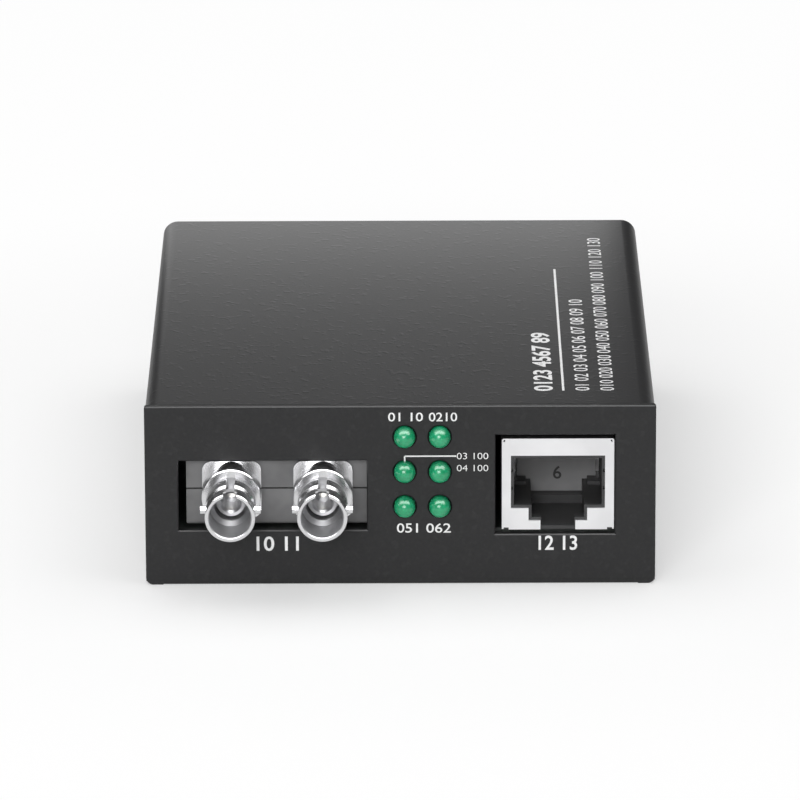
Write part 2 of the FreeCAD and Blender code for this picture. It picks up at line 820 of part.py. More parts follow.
def make_board_standoffs():
    """Four round standoffs clinched in the floor, tapped from above."""
    body = standoff_body("board_standoffs")
    x, y = "standoff_spread_across / 2", "standoff_reach"
    foot = new_sketch(body, "XY_Plane")
    draw_circle(foot, x, y, "standoff_clinch")
    pad(body, foot, "sheet")
    post = new_sketch(body, "XY_Plane", "sheet")
    draw_circle(post, x, y, "standoff_radius")
    pad(body, post, "standoff_height")
    thread = new_sketch(body, "XY_Plane", "board_bottom")
    draw_circle(thread, x, y, "board_screw_shank + thread_gap")
    pocket(body, thread, "standoff_height")
    soften(body, "Chamfer", "edge_break", circle_of("standoff_radius", z="board_bottom"))
    mirror(body, "YZ_Plane", "XZ_Plane")
    return body


def make_board_screws():
    """Four pan-head screws that hold the board on its standoffs."""
    body = standoff_body("board_screws")
    x, y = "standoff_spread_across / 2", "standoff_reach"
    shank = new_sketch(body, "XY_Plane", "board_top")
    draw_circle(shank, x, y, "board_screw_shank")
    pad(body, shank, "board_screw_length", backward=True)
    head = new_sketch(body, "XY_Plane", "board_top")
    draw_circle(head, x, y, "board_screw_head")
    pad(body, head, "board_screw_head_height")
    rim = circle_of("board_screw_head", z="board_top + board_screw_head_height")
    soften(body, "Chamfer", "board_screw_head_height / 2", rim)
    mirror(body, "YZ_Plane", "XZ_Plane")
    return body


# ---------------------------------------------------------------- fibre transceiver

def module_half(label, bottom, top, outer_face):
    """Half of the transceiver's moulded housing: a tray of even wall, open at the seam."""
    body = new_body(label, x="-(transceiver_centre)")
    block = new_sketch(body, "XY_Plane", bottom)
    draw_box(block, "-transceiver_width / 2", "module_front", "transceiver_width / 2", "module_rear")
    pad(body, block, f"{top} - {bottom}")
    soften(body, "Fillet", "transceiver_edge", in_plane("z", outer_face))
    soften(body, "Chamfer", "seam_break", in_plane("z", "module_seam"))
    inside = "transceiver_width / 2 - transceiver_wall"
    hollow = new_sketch(body, "XY_Plane", top if outer_face == bottom else bottom)
    draw_box(hollow, f"-({inside})", "module_front + transceiver_wall",
             inside, "module_rear - transceiver_wall")
    pocket(body, hollow, f"{top} - {bottom} - transceiver_wall", backward=outer_face == top)
    saddles = new_sketch(body, "XZ_Plane", "-(module_front)")
    for x in both_sides("port_pitch / 2"):
        draw_circle(saddles, x, "module_seam", "shank_radius + saddle_gap")
    pocket(body, saddles, "transceiver_wall")
    return body


def make_transceiver_base():
    """Lower half of the transceiver, with four feet and the slots for its pins."""
    body = module_half("transceiver_base", "module_bottom", "module_seam", "module_bottom")
    feet = new_sketch(body, "XY_Plane", "module_bottom")
    for x in both_sides("transceiver_width / 2 - foot_from_side"):
        for y in ("module_front + foot_from_front", "module_rear - foot_from_side"):
            draw_circle(feet, x, y, "foot_radius")
    pad(body, feet, "transceiver_lift", backward=True)
    pins = new_sketch(body, "XY_Plane", "module_bottom + transceiver_wall")
    draw_box(pins, f"-(module_pin_pitch * {MODULE_PINS - 1} / 2 + module_pin_side)",
             "module_rear - module_pin_from_end - module_pin_side",
             f"module_pin_pitch * {MODULE_PINS - 1} / 2 + module_pin_side",
             "module_rear - module_pin_from_end + module_pin_side")
    pocket(body, pins, "transceiver_wall")
    return body


def make_transceiver_cover():
    """Upper half of the transceiver."""
    return module_half("transceiver_cover", "module_seam", "module_top", "module_top")


def port_x(side):
    """Place of a port across the panel, left (-1) or right (1) of the transceiver's middle."""
    return f"{side} * port_pitch / 2 - transceiver_centre"


def make_port(label, side):
    """Bayonet port: collar, neck, grooved barrel with lugs and key slot, and the tail that holds its can.

    Its own Y axis is the port's axis and its origin lies in the panel's outer face, so a station
    in front of the panel has a negative y.
    """
    body = new_body(label, x=port_x(side), y="front_face", z="module_seam")
    tail = "transceiver_recess + tail_length"
    capture = "transceiver_recess + transceiver_wall + saddle_gap"
    collar_back = "transceiver_recess - flange_thickness"
    outside = new_sketch(body, "XY_Plane")
    draw(outside, [
        ("0", tail), ("tail_radius", tail), ("tail_radius", f"{capture} + capture_thickness"),
        ("capture_radius", f"{capture} + capture_thickness"), ("capture_radius", capture),
        ("shank_radius", capture), ("shank_radius", collar_back), ("collar_radius", collar_back),
        ("collar_radius", "collar_break - collar_front"), ("collar_radius - collar_break", "-collar_front"),
        ("neck_radius", "-collar_front"), ("neck_radius", "-neck_end"),
        ("barrel_radius", "neck_radius - barrel_radius - neck_end"),
        ("barrel_radius", "-groove_start"), ("groove_radius", "-groove_start - groove_flank"),
        ("groove_radius", "-groove_end"), ("barrel_radius", "-groove_end"),
        ("barrel_radius", "-barrel_front"), ("0", "-barrel_front")])
    revolve(body, outside)
    flange = new_sketch(body, "XZ_Plane", "-(transceiver_recess)")
    draw_box(flange, "-flange_size / 2", "-flange_size / 2", "flange_size / 2", "flange_size / 2",
             "flange_corner")
    pad(body, flange, "flange_thickness")
    lugs = new_sketch(body, "YZ_Plane")
    draw_circle(lugs, "-lug_front", "0", "lug_radius")
    pad(body, lugs, "2 * lug_reach", both=True)
    bore_port(body, tail)
    cut_key(body)
    return body


def bore_port(body, tail):
    """Stepped bore: open barrel, throat, press fit of the sleeve, and the seat of the can."""
    bore = new_sketch(body, "XY_Plane")
    seat = f"{tail} - can_seat"
    draw(bore, [
        ("0", "-barrel_front"), ("barrel_bore", "-barrel_front"), ("barrel_bore", "-throat_end"),
        ("throat_bore", "-throat_start"), ("throat_bore", "-collar_front"),
        ("sleeve_radius + press_gap", "-collar_front"), ("sleeve_radius + press_gap", seat),
        ("can_flange_radius + press_gap", seat), ("can_flange_radius + press_gap", tail), ("0", tail)])
    bore_out(body, bore)
    mouth = [circle_of("barrel_radius", y="-barrel_front"), circle_of("barrel_bore", y="-barrel_front")]
    soften(body, "Chamfer", "lip_break", lambda edge: any(test(edge) for test in mouth))


def cut_key(body):
    """Key slot through the top of the barrel's lip, and the narrower keyway on to the collar."""
    slot = new_sketch(body, "XZ_Plane", "barrel_front")
    draw_box(slot, "-key_width / 2", "barrel_bore / 2", "key_width / 2", "2 * barrel_radius")
    pocket(body, slot, "barrel_front - groove_end")
    keyway = new_sketch(body, "XZ_Plane", "groove_end")
    draw_box(keyway, "-keyway_width / 2", "barrel_bore / 2", "keyway_width / 2", "2 * barrel_radius")
    pocket(body, keyway, "groove_end - collar_front")


def make_sleeve(label, side):
    """Alignment sleeve that a ferrule slides into as far as its shoulder, with a bevelled mouth."""
    body = new_body(label, x=port_x(side), y="front_face", z="module_seam")
    section = new_sketch(body, "XY_Plane")
    draw(section, [
        ("stub_radius + stub_gap", "sleeve_rear"), ("sleeve_radius", "sleeve_rear"),
        ("sleeve_radius", "-sleeve_front"), ("sleeve_bore + sleeve_mouth", "-sleeve_front"),
        ("sleeve_bore", "sleeve_mouth - sleeve_front"), ("sleeve_bore", "-stub_front"),
        ("stub_radius + stub_gap", "-stub_front")])
    revolve(body, section)
    return body


def make_can(label, side):
    """Round metal can of the laser or the detector, with its three leads and the stub of fibre before it."""
    tail = "transceiver_recess + tail_length"
    body = new_body(label, x=port_x(side), y=f"front_face + {tail}", z="module_seam")
    section = new_sketch(body, "XY_Plane")
    draw(section, [
        ("0", "0"), ("can_flange_radius", "0"), ("can_flange_radius", "-can_flange_thickness"),
        ("can_radius", "-can_flange_thickness"), ("can_radius", "-can_flange_thickness - can_length"),
        ("stub_radius", "-can_flange_thickness - can_length"), ("stub_radius", f"-({tail}) - stub_front"),
        ("0", f"-({tail}) - stub_front")])
    revolve(body, section)
    leads = new_sketch(body, "XZ_Plane")
    reach = "can_lead_circle * sqrt(3) / 2"
    for x in both_sides(reach):
        draw_circle(leads, x, "can_lead_circle / 2", "can_lead_radius")
    draw_circle(leads, "0", "-can_lead_circle", "can_lead_radius")
    pad(body, leads, "can_lead_length", backward=True)
    return body


def make_transceiver_board():
    """Small circuit board inside the transceiver, between the cans' leads and the pins."""
    body = new_body("transceiver_board", x="-(transceiver_centre)")
    half = "transceiver_width / 2 - transceiver_wall - sub_board_gap"
    outline = new_sketch(body, "XY_Plane", "sub_board_bottom")
    draw_box(outline, f"-({half})", "sub_board_front", half, "sub_board_front + sub_board_length")
    pad(body, outline, "sub_board_thickness")
    holes = new_sketch(body, "XY_Plane", "sub_board_bottom + sub_board_thickness")
    draw_pin_row(holes, "module_pin_side / 2")
    pocket(body, holes, "sub_board_thickness")
    return body


def draw_pin_row(sketch, half):
    """Draw the squares of the transceiver's row of pins."""
    middle = "module_rear - module_pin_from_end"
    for pin in range(MODULE_PINS):
        x = f"module_pin_pitch * {pin - (MODULE_PINS - 1) / 2}"
        draw_box(sketch, f"{x} - {half}", f"{middle} - {half}", f"{x} + {half}", f"{middle} + {half}")


def make_transceiver_pins():
    """Row of square pins from the transceiver's own board through the main board."""
    body = new_body("transceiver_pins", x="-(transceiver_centre)")
    row = new_sketch(body, "XY_Plane", "board_bottom - pin_below_board")
    draw_pin_row(row, "module_pin_side / 2")
    pad(body, row, "sub_board_bottom + 2 * sub_board_thickness - board_bottom + pin_below_board")
    return body


# ---------------------------------------------------------------- indicator lamps

def lamp_x(column):
    """Place of a column of lamps across the panel."""
    return f"lamp_left + lamp_column_pitch * {column}"


def lamp_z(row):
    """Height of a row of lamps, counted from the lowest."""
    return f"lamp_bottom + lamp_row_pitch * {row}"


def lead_bend(row):
    """Station behind the panel's face where a row's leads turn down."""
    return f"lamp_back + lamp_lead_first_run + lamp_lead_step * {row}"


def make_lamp(label, column, row):
    """Round indicator lamp: domed lens, body and rear flange, on its own Y axis."""
    body = new_body(label, x=lamp_x(column), y="front_face", z=lamp_z(row))
    section = new_sketch(body, "XY_Plane")
    draw(section, [
        ("0", "lamp_back"), ("lamp_flange_radius", "lamp_back"),
        ("lamp_flange_radius", "lamp_back - lamp_flange_thickness"),
        ("lamp_radius", "lamp_back - lamp_flange_thickness"),
        ("lamp_radius", "-lamp_reach", "lamp_radius - lamp_tip"), ("0", "-lamp_reach")])
    revolve(body, section)
    return body


def make_lamp_leads():
    """Square leads that run back from the lamps and turn down into the board."""
    body = new_body("lamp_leads", x="lamp_left", y="front_face")
    for row in range(LAMP_ROWS):
        height = lamp_z(row)
        run = lead_bend(row)
        path = new_sketch(body, "YZ_Plane", "-lamp_lead_spread / 2")
        draw(path, [("lamp_back", height), (run, height, "lamp_lead_side * 2"),
                    (run, "board_bottom - pin_below_board")], closed=False)
        section = new_sketch(body, "XZ_Plane", "-(lamp_back)")
        half = "lamp_lead_side / 2"
        draw_box(section, f"-lamp_lead_spread / 2 - {half}", f"{height} - {half}",
                 f"-lamp_lead_spread / 2 + {half}", f"{height} + {half}")
        sweep(body, section, path)
    repeat(body, "X_Axis", "lamp_lead_spread", 2)
    repeat(body, "X_Axis", "lamp_column_pitch", LAMP_COLUMNS)
    return body


def make_lamp_holder():
    """Black block behind the panel that holds the lamps in two columns."""
    body = new_body("lamp_holder", y="front_face")
    block = new_sketch(body, "XZ_Plane", "-(holder_front)")
    draw_box(block, "lamp_left - holder_border", "board_top",
             f"{lamp_x(LAMP_COLUMNS - 1)} + holder_border", f"{lamp_z(LAMP_ROWS - 1)} + holder_border")
    pad(body, block, "holder_depth", backward=True)
    front_wall = "lamp_back - lamp_flange_thickness - holder_front"
    seats = new_sketch(body, "XZ_Plane", "-(holder_front)")
    rooms = new_sketch(body, "XZ_Plane", "-(lamp_back - lamp_flange_thickness)")
    for column in range(LAMP_COLUMNS):
        for row in range(LAMP_ROWS):
            draw_circle(seats, lamp_x(column), lamp_z(row), "lamp_radius + saddle_gap")
            draw_circle(rooms, lamp_x(column), lamp_z(row), "lamp_flange_radius + saddle_gap")
    pocket(body, seats, front_wall)
    pocket(body, rooms, "holder_depth")
    return body


# ---------------------------------------------------------------- copper socket

def mouth_outline(half, floor, roof, step_half, step_floor, notch_half, notch_floor):
    """Outline of a plug's mouth: wide body, then two steps down to the latch's notch."""
    left = [(f"-({half})", roof), (f"-({half})", floor),
            (f"-({step_half})", floor), (f"-({step_half})", step_floor),
            (f"-({notch_half})", step_floor), (f"-({notch_half})", notch_floor)]
    right = [(x[2:-1], z) for x, z in reversed(left)]
    return left + right


def jack_body(label):
    """Start a body on the copper socket's middle plane, with its y from the shield's front."""
    return new_body(label, x="jack_middle", y="jack_front")


def make_jack_shield():
    """Folded nickel-plated can round the socket, open below, with legs into the board."""
    body = jack_body("jack_shield")
    outer = new_sketch(body, "XZ_Plane")
    draw_box(outer, "-jack_width / 2", "board_top", "jack_width / 2", "jack_top")
    pad(body, outer, "jack_depth", backward=True)
    soften(body, "Fillet", "shield_corner", straight("y", x=both_sides("jack_width / 2"), z="jack_top"))
    inner = new_sketch(body, "XY_Plane", "board_top")
    inside = "jack_width / 2 - shield_sheet"
    draw_box(inner, f"-({inside})", "shield_sheet", inside, "jack_depth - shield_sheet")
    pocket(body, inner, "jack_height - shield_sheet", backward=True)
    mouth = new_sketch(body, "XZ_Plane")
    draw(mouth, mouth_outline("mouth_width / 2", "mouth_bottom", "mouth_top", "mouth_step_width / 2",
                              "mouth_step_bottom", "mouth_notch_width / 2", "board_top - sheet"))
    pocket(body, mouth, "shield_sheet")
    folds = new_sketch(body, "XZ_Plane")
    for side in (1, -1):
        draw_box(folds, f"{side} * jack_width / 2", "board_top",
                 f"{side} * (jack_width / 2 - fold_notch_width)", "board_top + fold_notch_height")
        draw_circle(folds, f"{side} * (jack_width / 2 - fold_relief_inset)", "jack_top - fold_relief_inset",
                    "fold_relief")
    pocket(body, folds, "shield_sheet")
    for side in (1, -1):
        leg = new_sketch(body, "YZ_Plane", f"{side} * (jack_width / 2 - shield_sheet / 2)")
        draw_box(leg, "leg_depth - leg_width / 2", "board_bottom - pin_below_board / 2",
                 "leg_depth + leg_width / 2", "board_top + shield_sheet")
        pad(body, leg, "shield_sheet", both=True)
    return body


def make_jack_housing():
    """Moulded insulator: stepped mouth, plug cavity, latch pocket, side ledges and pegs."""
    body = jack_body("jack_housing")
    half = "insulator_half"
    block = new_sketch(body, "XZ_Plane", "-(shield_sheet)")
    draw_box(block, f"-({half})", "board_top", half, "insulator_top", "shield_corner")
    pad(body, block, "insulator_rear - insulator_front", backward=True)
    mouth = new_sketch(body, "XZ_Plane", "-(shield_sheet)")
    draw(mouth, mouth_outline("cavity_half", "cavity_floor", "cavity_roof", "channel_half",
                              "channel_floor", "notch_half", "latch_floor"))
    pocket(body, mouth, "latch_stop")
    latch = new_sketch(body, "XZ_Plane", "-(shield_sheet + latch_stop)")
    draw_box(latch, "-(channel_half)", "latch_floor", "channel_half", "cavity_floor")
    pocket(body, latch, "latch_length")
    cavity = new_sketch(body, "XZ_Plane", "-(shield_sheet + latch_stop)")
    draw(cavity, [
        ("-(cavity_half)", "cavity_roof"), ("-(cavity_half)", "cavity_floor"),
        ("-(channel_half)", "cavity_floor"), ("-(channel_half)", "channel_floor"),
        ("channel_half", "channel_floor"), ("channel_half", "cavity_floor"),
        ("cavity_half", "cavity_floor"), ("cavity_half", "cavity_roof")])
    pocket(body, cavity, "jack_depth")
    catches = new_sketch(body, "XZ_Plane", "-(shield_sheet)")
    for side in (1, -1):
        for step in range(2):
            low = f"cavity_floor + catch_first + catch_pitch * {step}"
            draw_box(catches, f"{side} * (mouth_width / 2 - catch_width)", low,
                     f"{side} * mouth_width / 2", f"{low} + catch_height")
    pocket(body, catches, "catch_depth")
    for side in (1, -1):
        ledge = new_sketch(body, "XY_Plane", "cavity_floor")
        inner, outer = f"{side} * (cavity_half - ledge_width)", f"{side} * (cavity_half)"
        draw_box(ledge, inner, "plug_depth - carrier_ledge", outer, "plug_depth")
        pad(body, ledge, "ledge_rise")
    pegs = new_sketch(body, "XY_Plane", "board_top")
    for x in both_sides("peg_spread / 2"):
        draw_circle(pegs, x, "peg_depth", "peg_radius")
    pad(body, pegs, "board_thickness + pin_below_board / 2", backward=True)
    return body


def make_contact_carrier():
    """Moulded insert that closes the cavity's rear and carries the contacts along its roof."""
    body = jack_body("contact_carrier")
    wall = new_sketch(body, "XZ_Plane", "-(plug_depth)")
    side, low_side = "cavity_half - carrier_side_gap", "channel_half - saddle_gap"
    roof, floor = "cavity_roof - saddle_gap", "cavity_floor + saddle_gap"
    low_floor = "channel_floor + saddle_gap"
    draw(wall, [(f"-({side})", roof), (f"-({side})", floor), (f"-({low_side})", floor),
                (f"-({low_side})", low_floor), (low_side, low_floor), (low_side, floor),
                (side, floor), (side, roof)])
    pad(body, wall, "insulator_rear - carrier_front", backward=True)
    grooves = new_sketch(body, "XZ_Plane", "-(plug_depth)")
    first = f"-contact_pitch * {CONTACTS - 1} / 2"
    room = "(contact_side / 2 + saddle_gap)"
    draw_box(grooves, f"{first} - {room}", "cavity_roof - contact_roof_gap - contact_side",
             f"{first} + {room}", "cavity_roof")
    groove = pocket(body, grooves, "jack_depth")
    repeat(body, "X_Axis", "contact_pitch", CONTACTS, original=groove)
    return body


def make_jack_contacts():
    """Spring wires along the cavity's roof, folded back and down over the plug's blades."""
    body = jack_body("jack_contacts")
    roof = "cavity_roof - contact_roof_gap"
    first = f"-contact_pitch * {CONTACTS - 1} / 2"
    path = new_sketch(body, "YZ_Plane", first)
    draw(path, [("insulator_rear - jack_front", roof), ("contact_front", roof, "contact_bend"),
                ("contact_tip_depth", f"{roof} - contact_drop")], closed=False)
    section = new_sketch(body, "XZ_Plane", "-(insulator_rear - jack_front)")
    half = "contact_side / 2"
    draw_box(section, f"{first} - {half}", f"{roof} - {half}", f"{first} + {half}", f"{roof} + {half}")
    sweep(body, section, path)
    repeat(body, "X_Axis", "contact_pitch", CONTACTS)
    return body


# ---------------------------------------------------------------- power inlet

def inlet_body(label):
    """Start a body on the inlet's axis, with its y measured back from the inlet's face."""
    return new_body(label, x="inlet_middle", y="inlet_face", z="inlet_centre_height")


def make_inlet_housing():
    """Moulded block of the power inlet, with a round nose in the rear panel's hole."""
    body = inlet_body("inlet_housing")
    block = new_sketch(body, "XZ_Plane")
    draw_box(block, "-inlet_width / 2", "-inlet_axis", "inlet_width / 2", "inlet_height - inlet_axis",
             "edge_break")
    pad(body, block, "inlet_length")
    nose = new_sketch(body, "XZ_Plane")
    draw_circle(nose, "0", "0", "inlet_hole - cover_gap")
    pad(body, nose, "sheet", backward=True)
    bore = new_sketch(body, "XZ_Plane", "-sheet")
    draw_circle(bore, "0", "0", "inlet_bore")
    pocket(body, bore, "inlet_bore_depth", backward=True)
    return body


def make_inlet_pin():
    """Centre pin of the power inlet, with a round nose."""
    body = inlet_body("inlet_pin")
    root = "sheet - inlet_bore_depth"
    tip = f"{root} + inlet_pin_reach"
    section = new_sketch(body, "XY_Plane")
    draw(section, [("0", root), ("inlet_pin", root), ("inlet_pin", tip, "inlet_pin / 2"), ("0", tip)])
    revolve(body, section)
    return body


def make_inlet_blades():
    """Three flat solder tags below the inlet."""
    body = inlet_body("inlet_blades")
    bottom = "board_bottom - pin_below_board - inlet_centre_height"
    row = new_sketch(body, "XY_Plane", bottom)
    for y in ("blade_width - inlet_length", "-inlet_length / 2"):
        draw_box(row, "-blade_width / 2", f"{y} - blade_thickness / 2",
                 "blade_width / 2", f"{y} + blade_thickness / 2")
    draw_box(row, "inlet_width / 2", "-inlet_length / 2 - blade_width / 2",
             "inlet_width / 2 + blade_thickness", "-inlet_length / 2 + blade_width / 2")
    pad(body, row, "board_thickness + pin_below_board")
    return body


# ---------------------------------------------------------------- parts on the board

def gull_wing(half, height, reach):
    """Outline of one bent lead, from inside the package's side down to the board."""
    thick = "lead_thickness"
    middle = f"{height} / 2"
    knee = f"{half} + {reach} / 2"
    return [(f"{half} - {thick}", middle), (knee, middle), (knee, thick), (f"{half} + {reach}", thick),
            (f"{half} + {reach}", "0"), (f"{knee} - {thick}", "0"),
            (f"{knee} - {thick}", f"{middle} - {thick}"), (f"{half} - {thick}", f"{middle} - {thick}")]


def leaded_package(body, across, along, height, pitch, count, lead_width, four_sides=False):
    """Moulded package with a row of bent leads on two sides, or on all four."""
    lead = new_sketch(body, "XZ_Plane", f"{pitch} * {count - 1} / 2")
    draw(lead, gull_wing(f"{across} / 2", height, "lead_reach"))
    pad(body, lead, lead_width, both=True)
    repeat(body, "Y_Axis", pitch, count)
    mirror(body, "YZ_Plane")
    if four_sides:
        quarter = add_feature(body, "PolarPattern")
        quarter.TransformMode = "Whole shape"
        quarter.Axis = (datum(body, "Z_Axis"), [""])
        quarter.Mode = "Spacing"
        quarter.Offset = 90
        quarter.Occurrences = 2
        finish_feature(body, quarter)
    package = new_sketch(body, "XY_Plane", "lead_thickness / 2")
    draw_box(package, f"-{across} / 2", f"-{along} / 2", f"{across} / 2", f"{along} / 2")
    pad(body, package, height)
    soften(body, "Chamfer", "edge_break", in_plane("z", f"{height} + lead_thickness / 2"))


def make_converter_chip():
    """Square chip that converts between the two links, with leads on four sides."""
    body = new_body("converter_chip", x="chip_x", y="chip_y", z="board_top")
    leaded_package(body, "chip_side", "chip_side", "chip_height", "chip_lead_pitch", CHIP_LEADS,
                   "chip_lead_width", four_sides=True)
    return body


def make_memory_chip():
    """Small chip that holds the settings."""
    body = new_body("memory_chip", x="memory_x", y="chip_y", z="board_top")
    leaded_package(body, "memory_width", "memory_length", "chip_height", "wide_lead_pitch", MEMORY_LEADS,
                   "wide_lead_width")
    return body


def make_line_transformer():
    """Moulded block of coils between the copper socket and the chip."""
    body = new_body("line_transformer", x="jack_middle", y="magnetics_y", z="board_top")
    leaded_package(body, "magnetics_width", "magnetics_length", "magnetics_height", "wide_lead_pitch",
                   TRANSFORMER_LEADS, "wide_lead_width")
    return body


def make_regulator():
    """Voltage regulator with its wide cooling tab and three leads."""
    body = new_body("regulator", x="regulator_x", y="regulator_y", z="board_top")
    lead = new_sketch(body, "XZ_Plane", "regulator_pitch")
    draw(lead, gull_wing("regulator_width / 2", "regulator_height", "lead_reach"))
    pad(body, lead, "wide_lead_width", both=True)
    repeat(body, "Y_Axis", "regulator_pitch", REGULATOR_LEADS)
    tab = new_sketch(body, "XY_Plane")
    draw_box(tab, "-regulator_width / 2 - lead_reach", "-regulator_tab / 2", "0", "regulator_tab / 2")
    pad(body, tab, "lead_thickness")
    package = new_sketch(body, "XY_Plane", "lead_thickness / 2")
    draw_box(package, "-regulator_width / 2", "-regulator_length / 2",
             "regulator_width / 2", "regulator_length / 2")
    pad(body, package, "regulator_height")
    return body


def make_crystal():
    """Flat oval can of the quartz crystal on its base."""
    body = new_body("crystal", x="crystal_x", y="crystal_y", z="board_top")
    base = new_sketch(body, "XY_Plane")
    draw_slot(base, "0", "-crystal_length / 2 - edge_break", "crystal_length / 2 + edge_break",
              "crystal_width / 2 + edge_break")
    pad(body, base, "2 * edge_break")
    can = new_sketch(body, "XY_Plane", "2 * edge_break")
    draw_slot(can, "0", "-crystal_length / 2", "crystal_length / 2", "crystal_width / 2")
    pad(body, can, "crystal_height")
    soften(body, "Chamfer", "2 * edge_break", in_plane("z", "crystal_height + 2 * edge_break"))
    return body


def make_capacitors():
    """Two round aluminium capacitors on their square feet."""
    beside_inlet = "inlet_middle - inlet_width / 2 - capacitor_foot"
    body = new_body("capacitors", x=beside_inlet, y="capacitor_y", z="board_top")
    foot = new_sketch(body, "XY_Plane")
    draw_box(foot, "-capacitor_foot / 2", "-capacitor_foot / 2", "capacitor_foot / 2", "capacitor_foot / 2")
    pad(body, foot, "foot_height")
    can = new_sketch(body, "XZ_Plane")
    draw(can, [
        ("0", "foot_height"), ("capacitor_radius", "foot_height"), ("capacitor_radius", "crimp_height"),
        ("capacitor_radius - crimp_depth", "crimp_height + crimp_depth"),
        ("capacitor_radius", "crimp_height + 2 * crimp_depth"),
        ("capacitor_radius", "capacitor_height - crimp_depth"),
        ("capacitor_radius - crimp_depth", "capacitor_height"), ("0", "capacitor_height")])
    revolve(body, can)
    repeat(body, "Y_Axis", "capacitor_foot + capacitor_gap", 2, backward=True)
    return body


def make_power_inductor():
    """Shielded square inductor with its round core."""
    body = new_body("power_inductor", x="inductor_x", y="inductor_y", z="board_top")
    block = new_sketch(body, "XY_Plane")
    draw_box(block, "-inductor_side / 2", "-inductor_side / 2", "inductor_side / 2", "inductor_side / 2",
             "inductor_corner")
    pad(body, block, "inductor_height")
    ring = new_sketch(body, "XY_Plane", "inductor_height")
    draw_circle(ring, "0", "0", "inductor_ring")
    draw_circle(ring, "0", "0", "inductor_ring - inductor_ring_width")
    pocket(body, ring, "inductor_ring_depth")
    return body


# ---------------------------------------------------------------- build and write

def build_all():
    """Make every sub-part."""
    fill_sheet()
    for make in (make_base_tray, make_top_cover, make_cover_screws, make_main_board,
                 make_board_standoffs, make_board_screws, make_transceiver_base, make_transceiver_cover,
                 make_transceiver_board, make_transceiver_pins):
        make()
    for side, end in ((-1, "transmit"), (1, "receive")):
        make_port(f"{end}_port", side)
        make_sleeve(f"{end}_sleeve", side)
    make_can("laser_can", -1)
    make_can("detector_can", 1)
    for row in range(LAMP_ROWS):
        for column in range(LAMP_COLUMNS):
            make_lamp(f"lamp_{row * LAMP_COLUMNS + column + 1}", column, LAMP_ROWS - 1 - row)
    for make in (make_lamp_leads, make_lamp_holder, make_jack_shield, make_jack_housing,
                 make_contact_carrier, make_jack_contacts, make_inlet_housing, make_inlet_pin,
                 make_inlet_blades, make_converter_chip, make_memory_chip, make_line_transformer,
                 make_regulator, make_crystal, make_capacitors, make_power_inductor):
        make()


def check_all():
    """Stop if any object failed, or any sub-part is missing, empty or not valid."""
    doc.recompute()
    for item in doc.Objects:
        if {"Invalid", "Error"} & set(item.State):
            raise RuntimeError(f"{item.Label} failed: {item.State}")
    for body in PARTS:
        if body.Shape.isNull() or not body.Shape.isValid() or not body.Shape.Solids:
            raise RuntimeError(f"{body.Label} has no valid solid")


def write_all():
    """Write each sub-part's solids to its own file."""
    os.makedirs("parts", exist_ok=True)
    for body in PARTS:
        body.Shape.exportStep(f"parts/{body.Label}.step")
        print(f"{body.Label}: {len(body.Shape.Solids)} solid, {body.Shape.Volume:.1f} mm3")


build_all()
check_all()
write_all()
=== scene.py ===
"""Looks of a small fibre media converter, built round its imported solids.

Everything is in metres, in the row's own frame: X to the right seen from the front, Y from the front
panel to the rear and Z up, with the origin under the middle of the case. The solids come from the
frame. This script gives them their finishes, adds the print, the screws' drives and the mould
number, and sets the table, the lamps and the camera.
"""
import logging
import math
from dataclasses import dataclass, field
from enum import Enum
from typing import Any, Mapping, Sequence, Union

import bpy
from mathutils import Matrix, Vector


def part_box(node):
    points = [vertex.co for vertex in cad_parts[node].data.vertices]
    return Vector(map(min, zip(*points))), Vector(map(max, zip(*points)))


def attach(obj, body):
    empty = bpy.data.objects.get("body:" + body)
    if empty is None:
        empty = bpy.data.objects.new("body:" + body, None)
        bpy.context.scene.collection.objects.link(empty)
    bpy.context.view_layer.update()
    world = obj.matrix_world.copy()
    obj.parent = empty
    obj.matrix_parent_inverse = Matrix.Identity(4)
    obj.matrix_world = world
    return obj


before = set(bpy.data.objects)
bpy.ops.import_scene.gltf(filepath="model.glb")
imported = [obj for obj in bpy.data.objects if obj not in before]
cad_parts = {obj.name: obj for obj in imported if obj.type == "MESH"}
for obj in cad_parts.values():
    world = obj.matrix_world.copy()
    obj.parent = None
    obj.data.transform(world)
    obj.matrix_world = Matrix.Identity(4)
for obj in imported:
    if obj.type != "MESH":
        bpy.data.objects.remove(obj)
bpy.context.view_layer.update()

MM = 0.001
ROOT_BODY = "root"
Colour = tuple[float, float, float]
Stretch = tuple[float, float, float]
Span = tuple[float, float]
Number = Union[float, "Value"]
# painted shade: the near-black painted into recesses and joints where shade falls
DEEP_SHADE: Colour = (0.004, 0.004, 0.004)
log = logging.getLogger("media_converter")


# ---------------------------------------------------------------- shader building

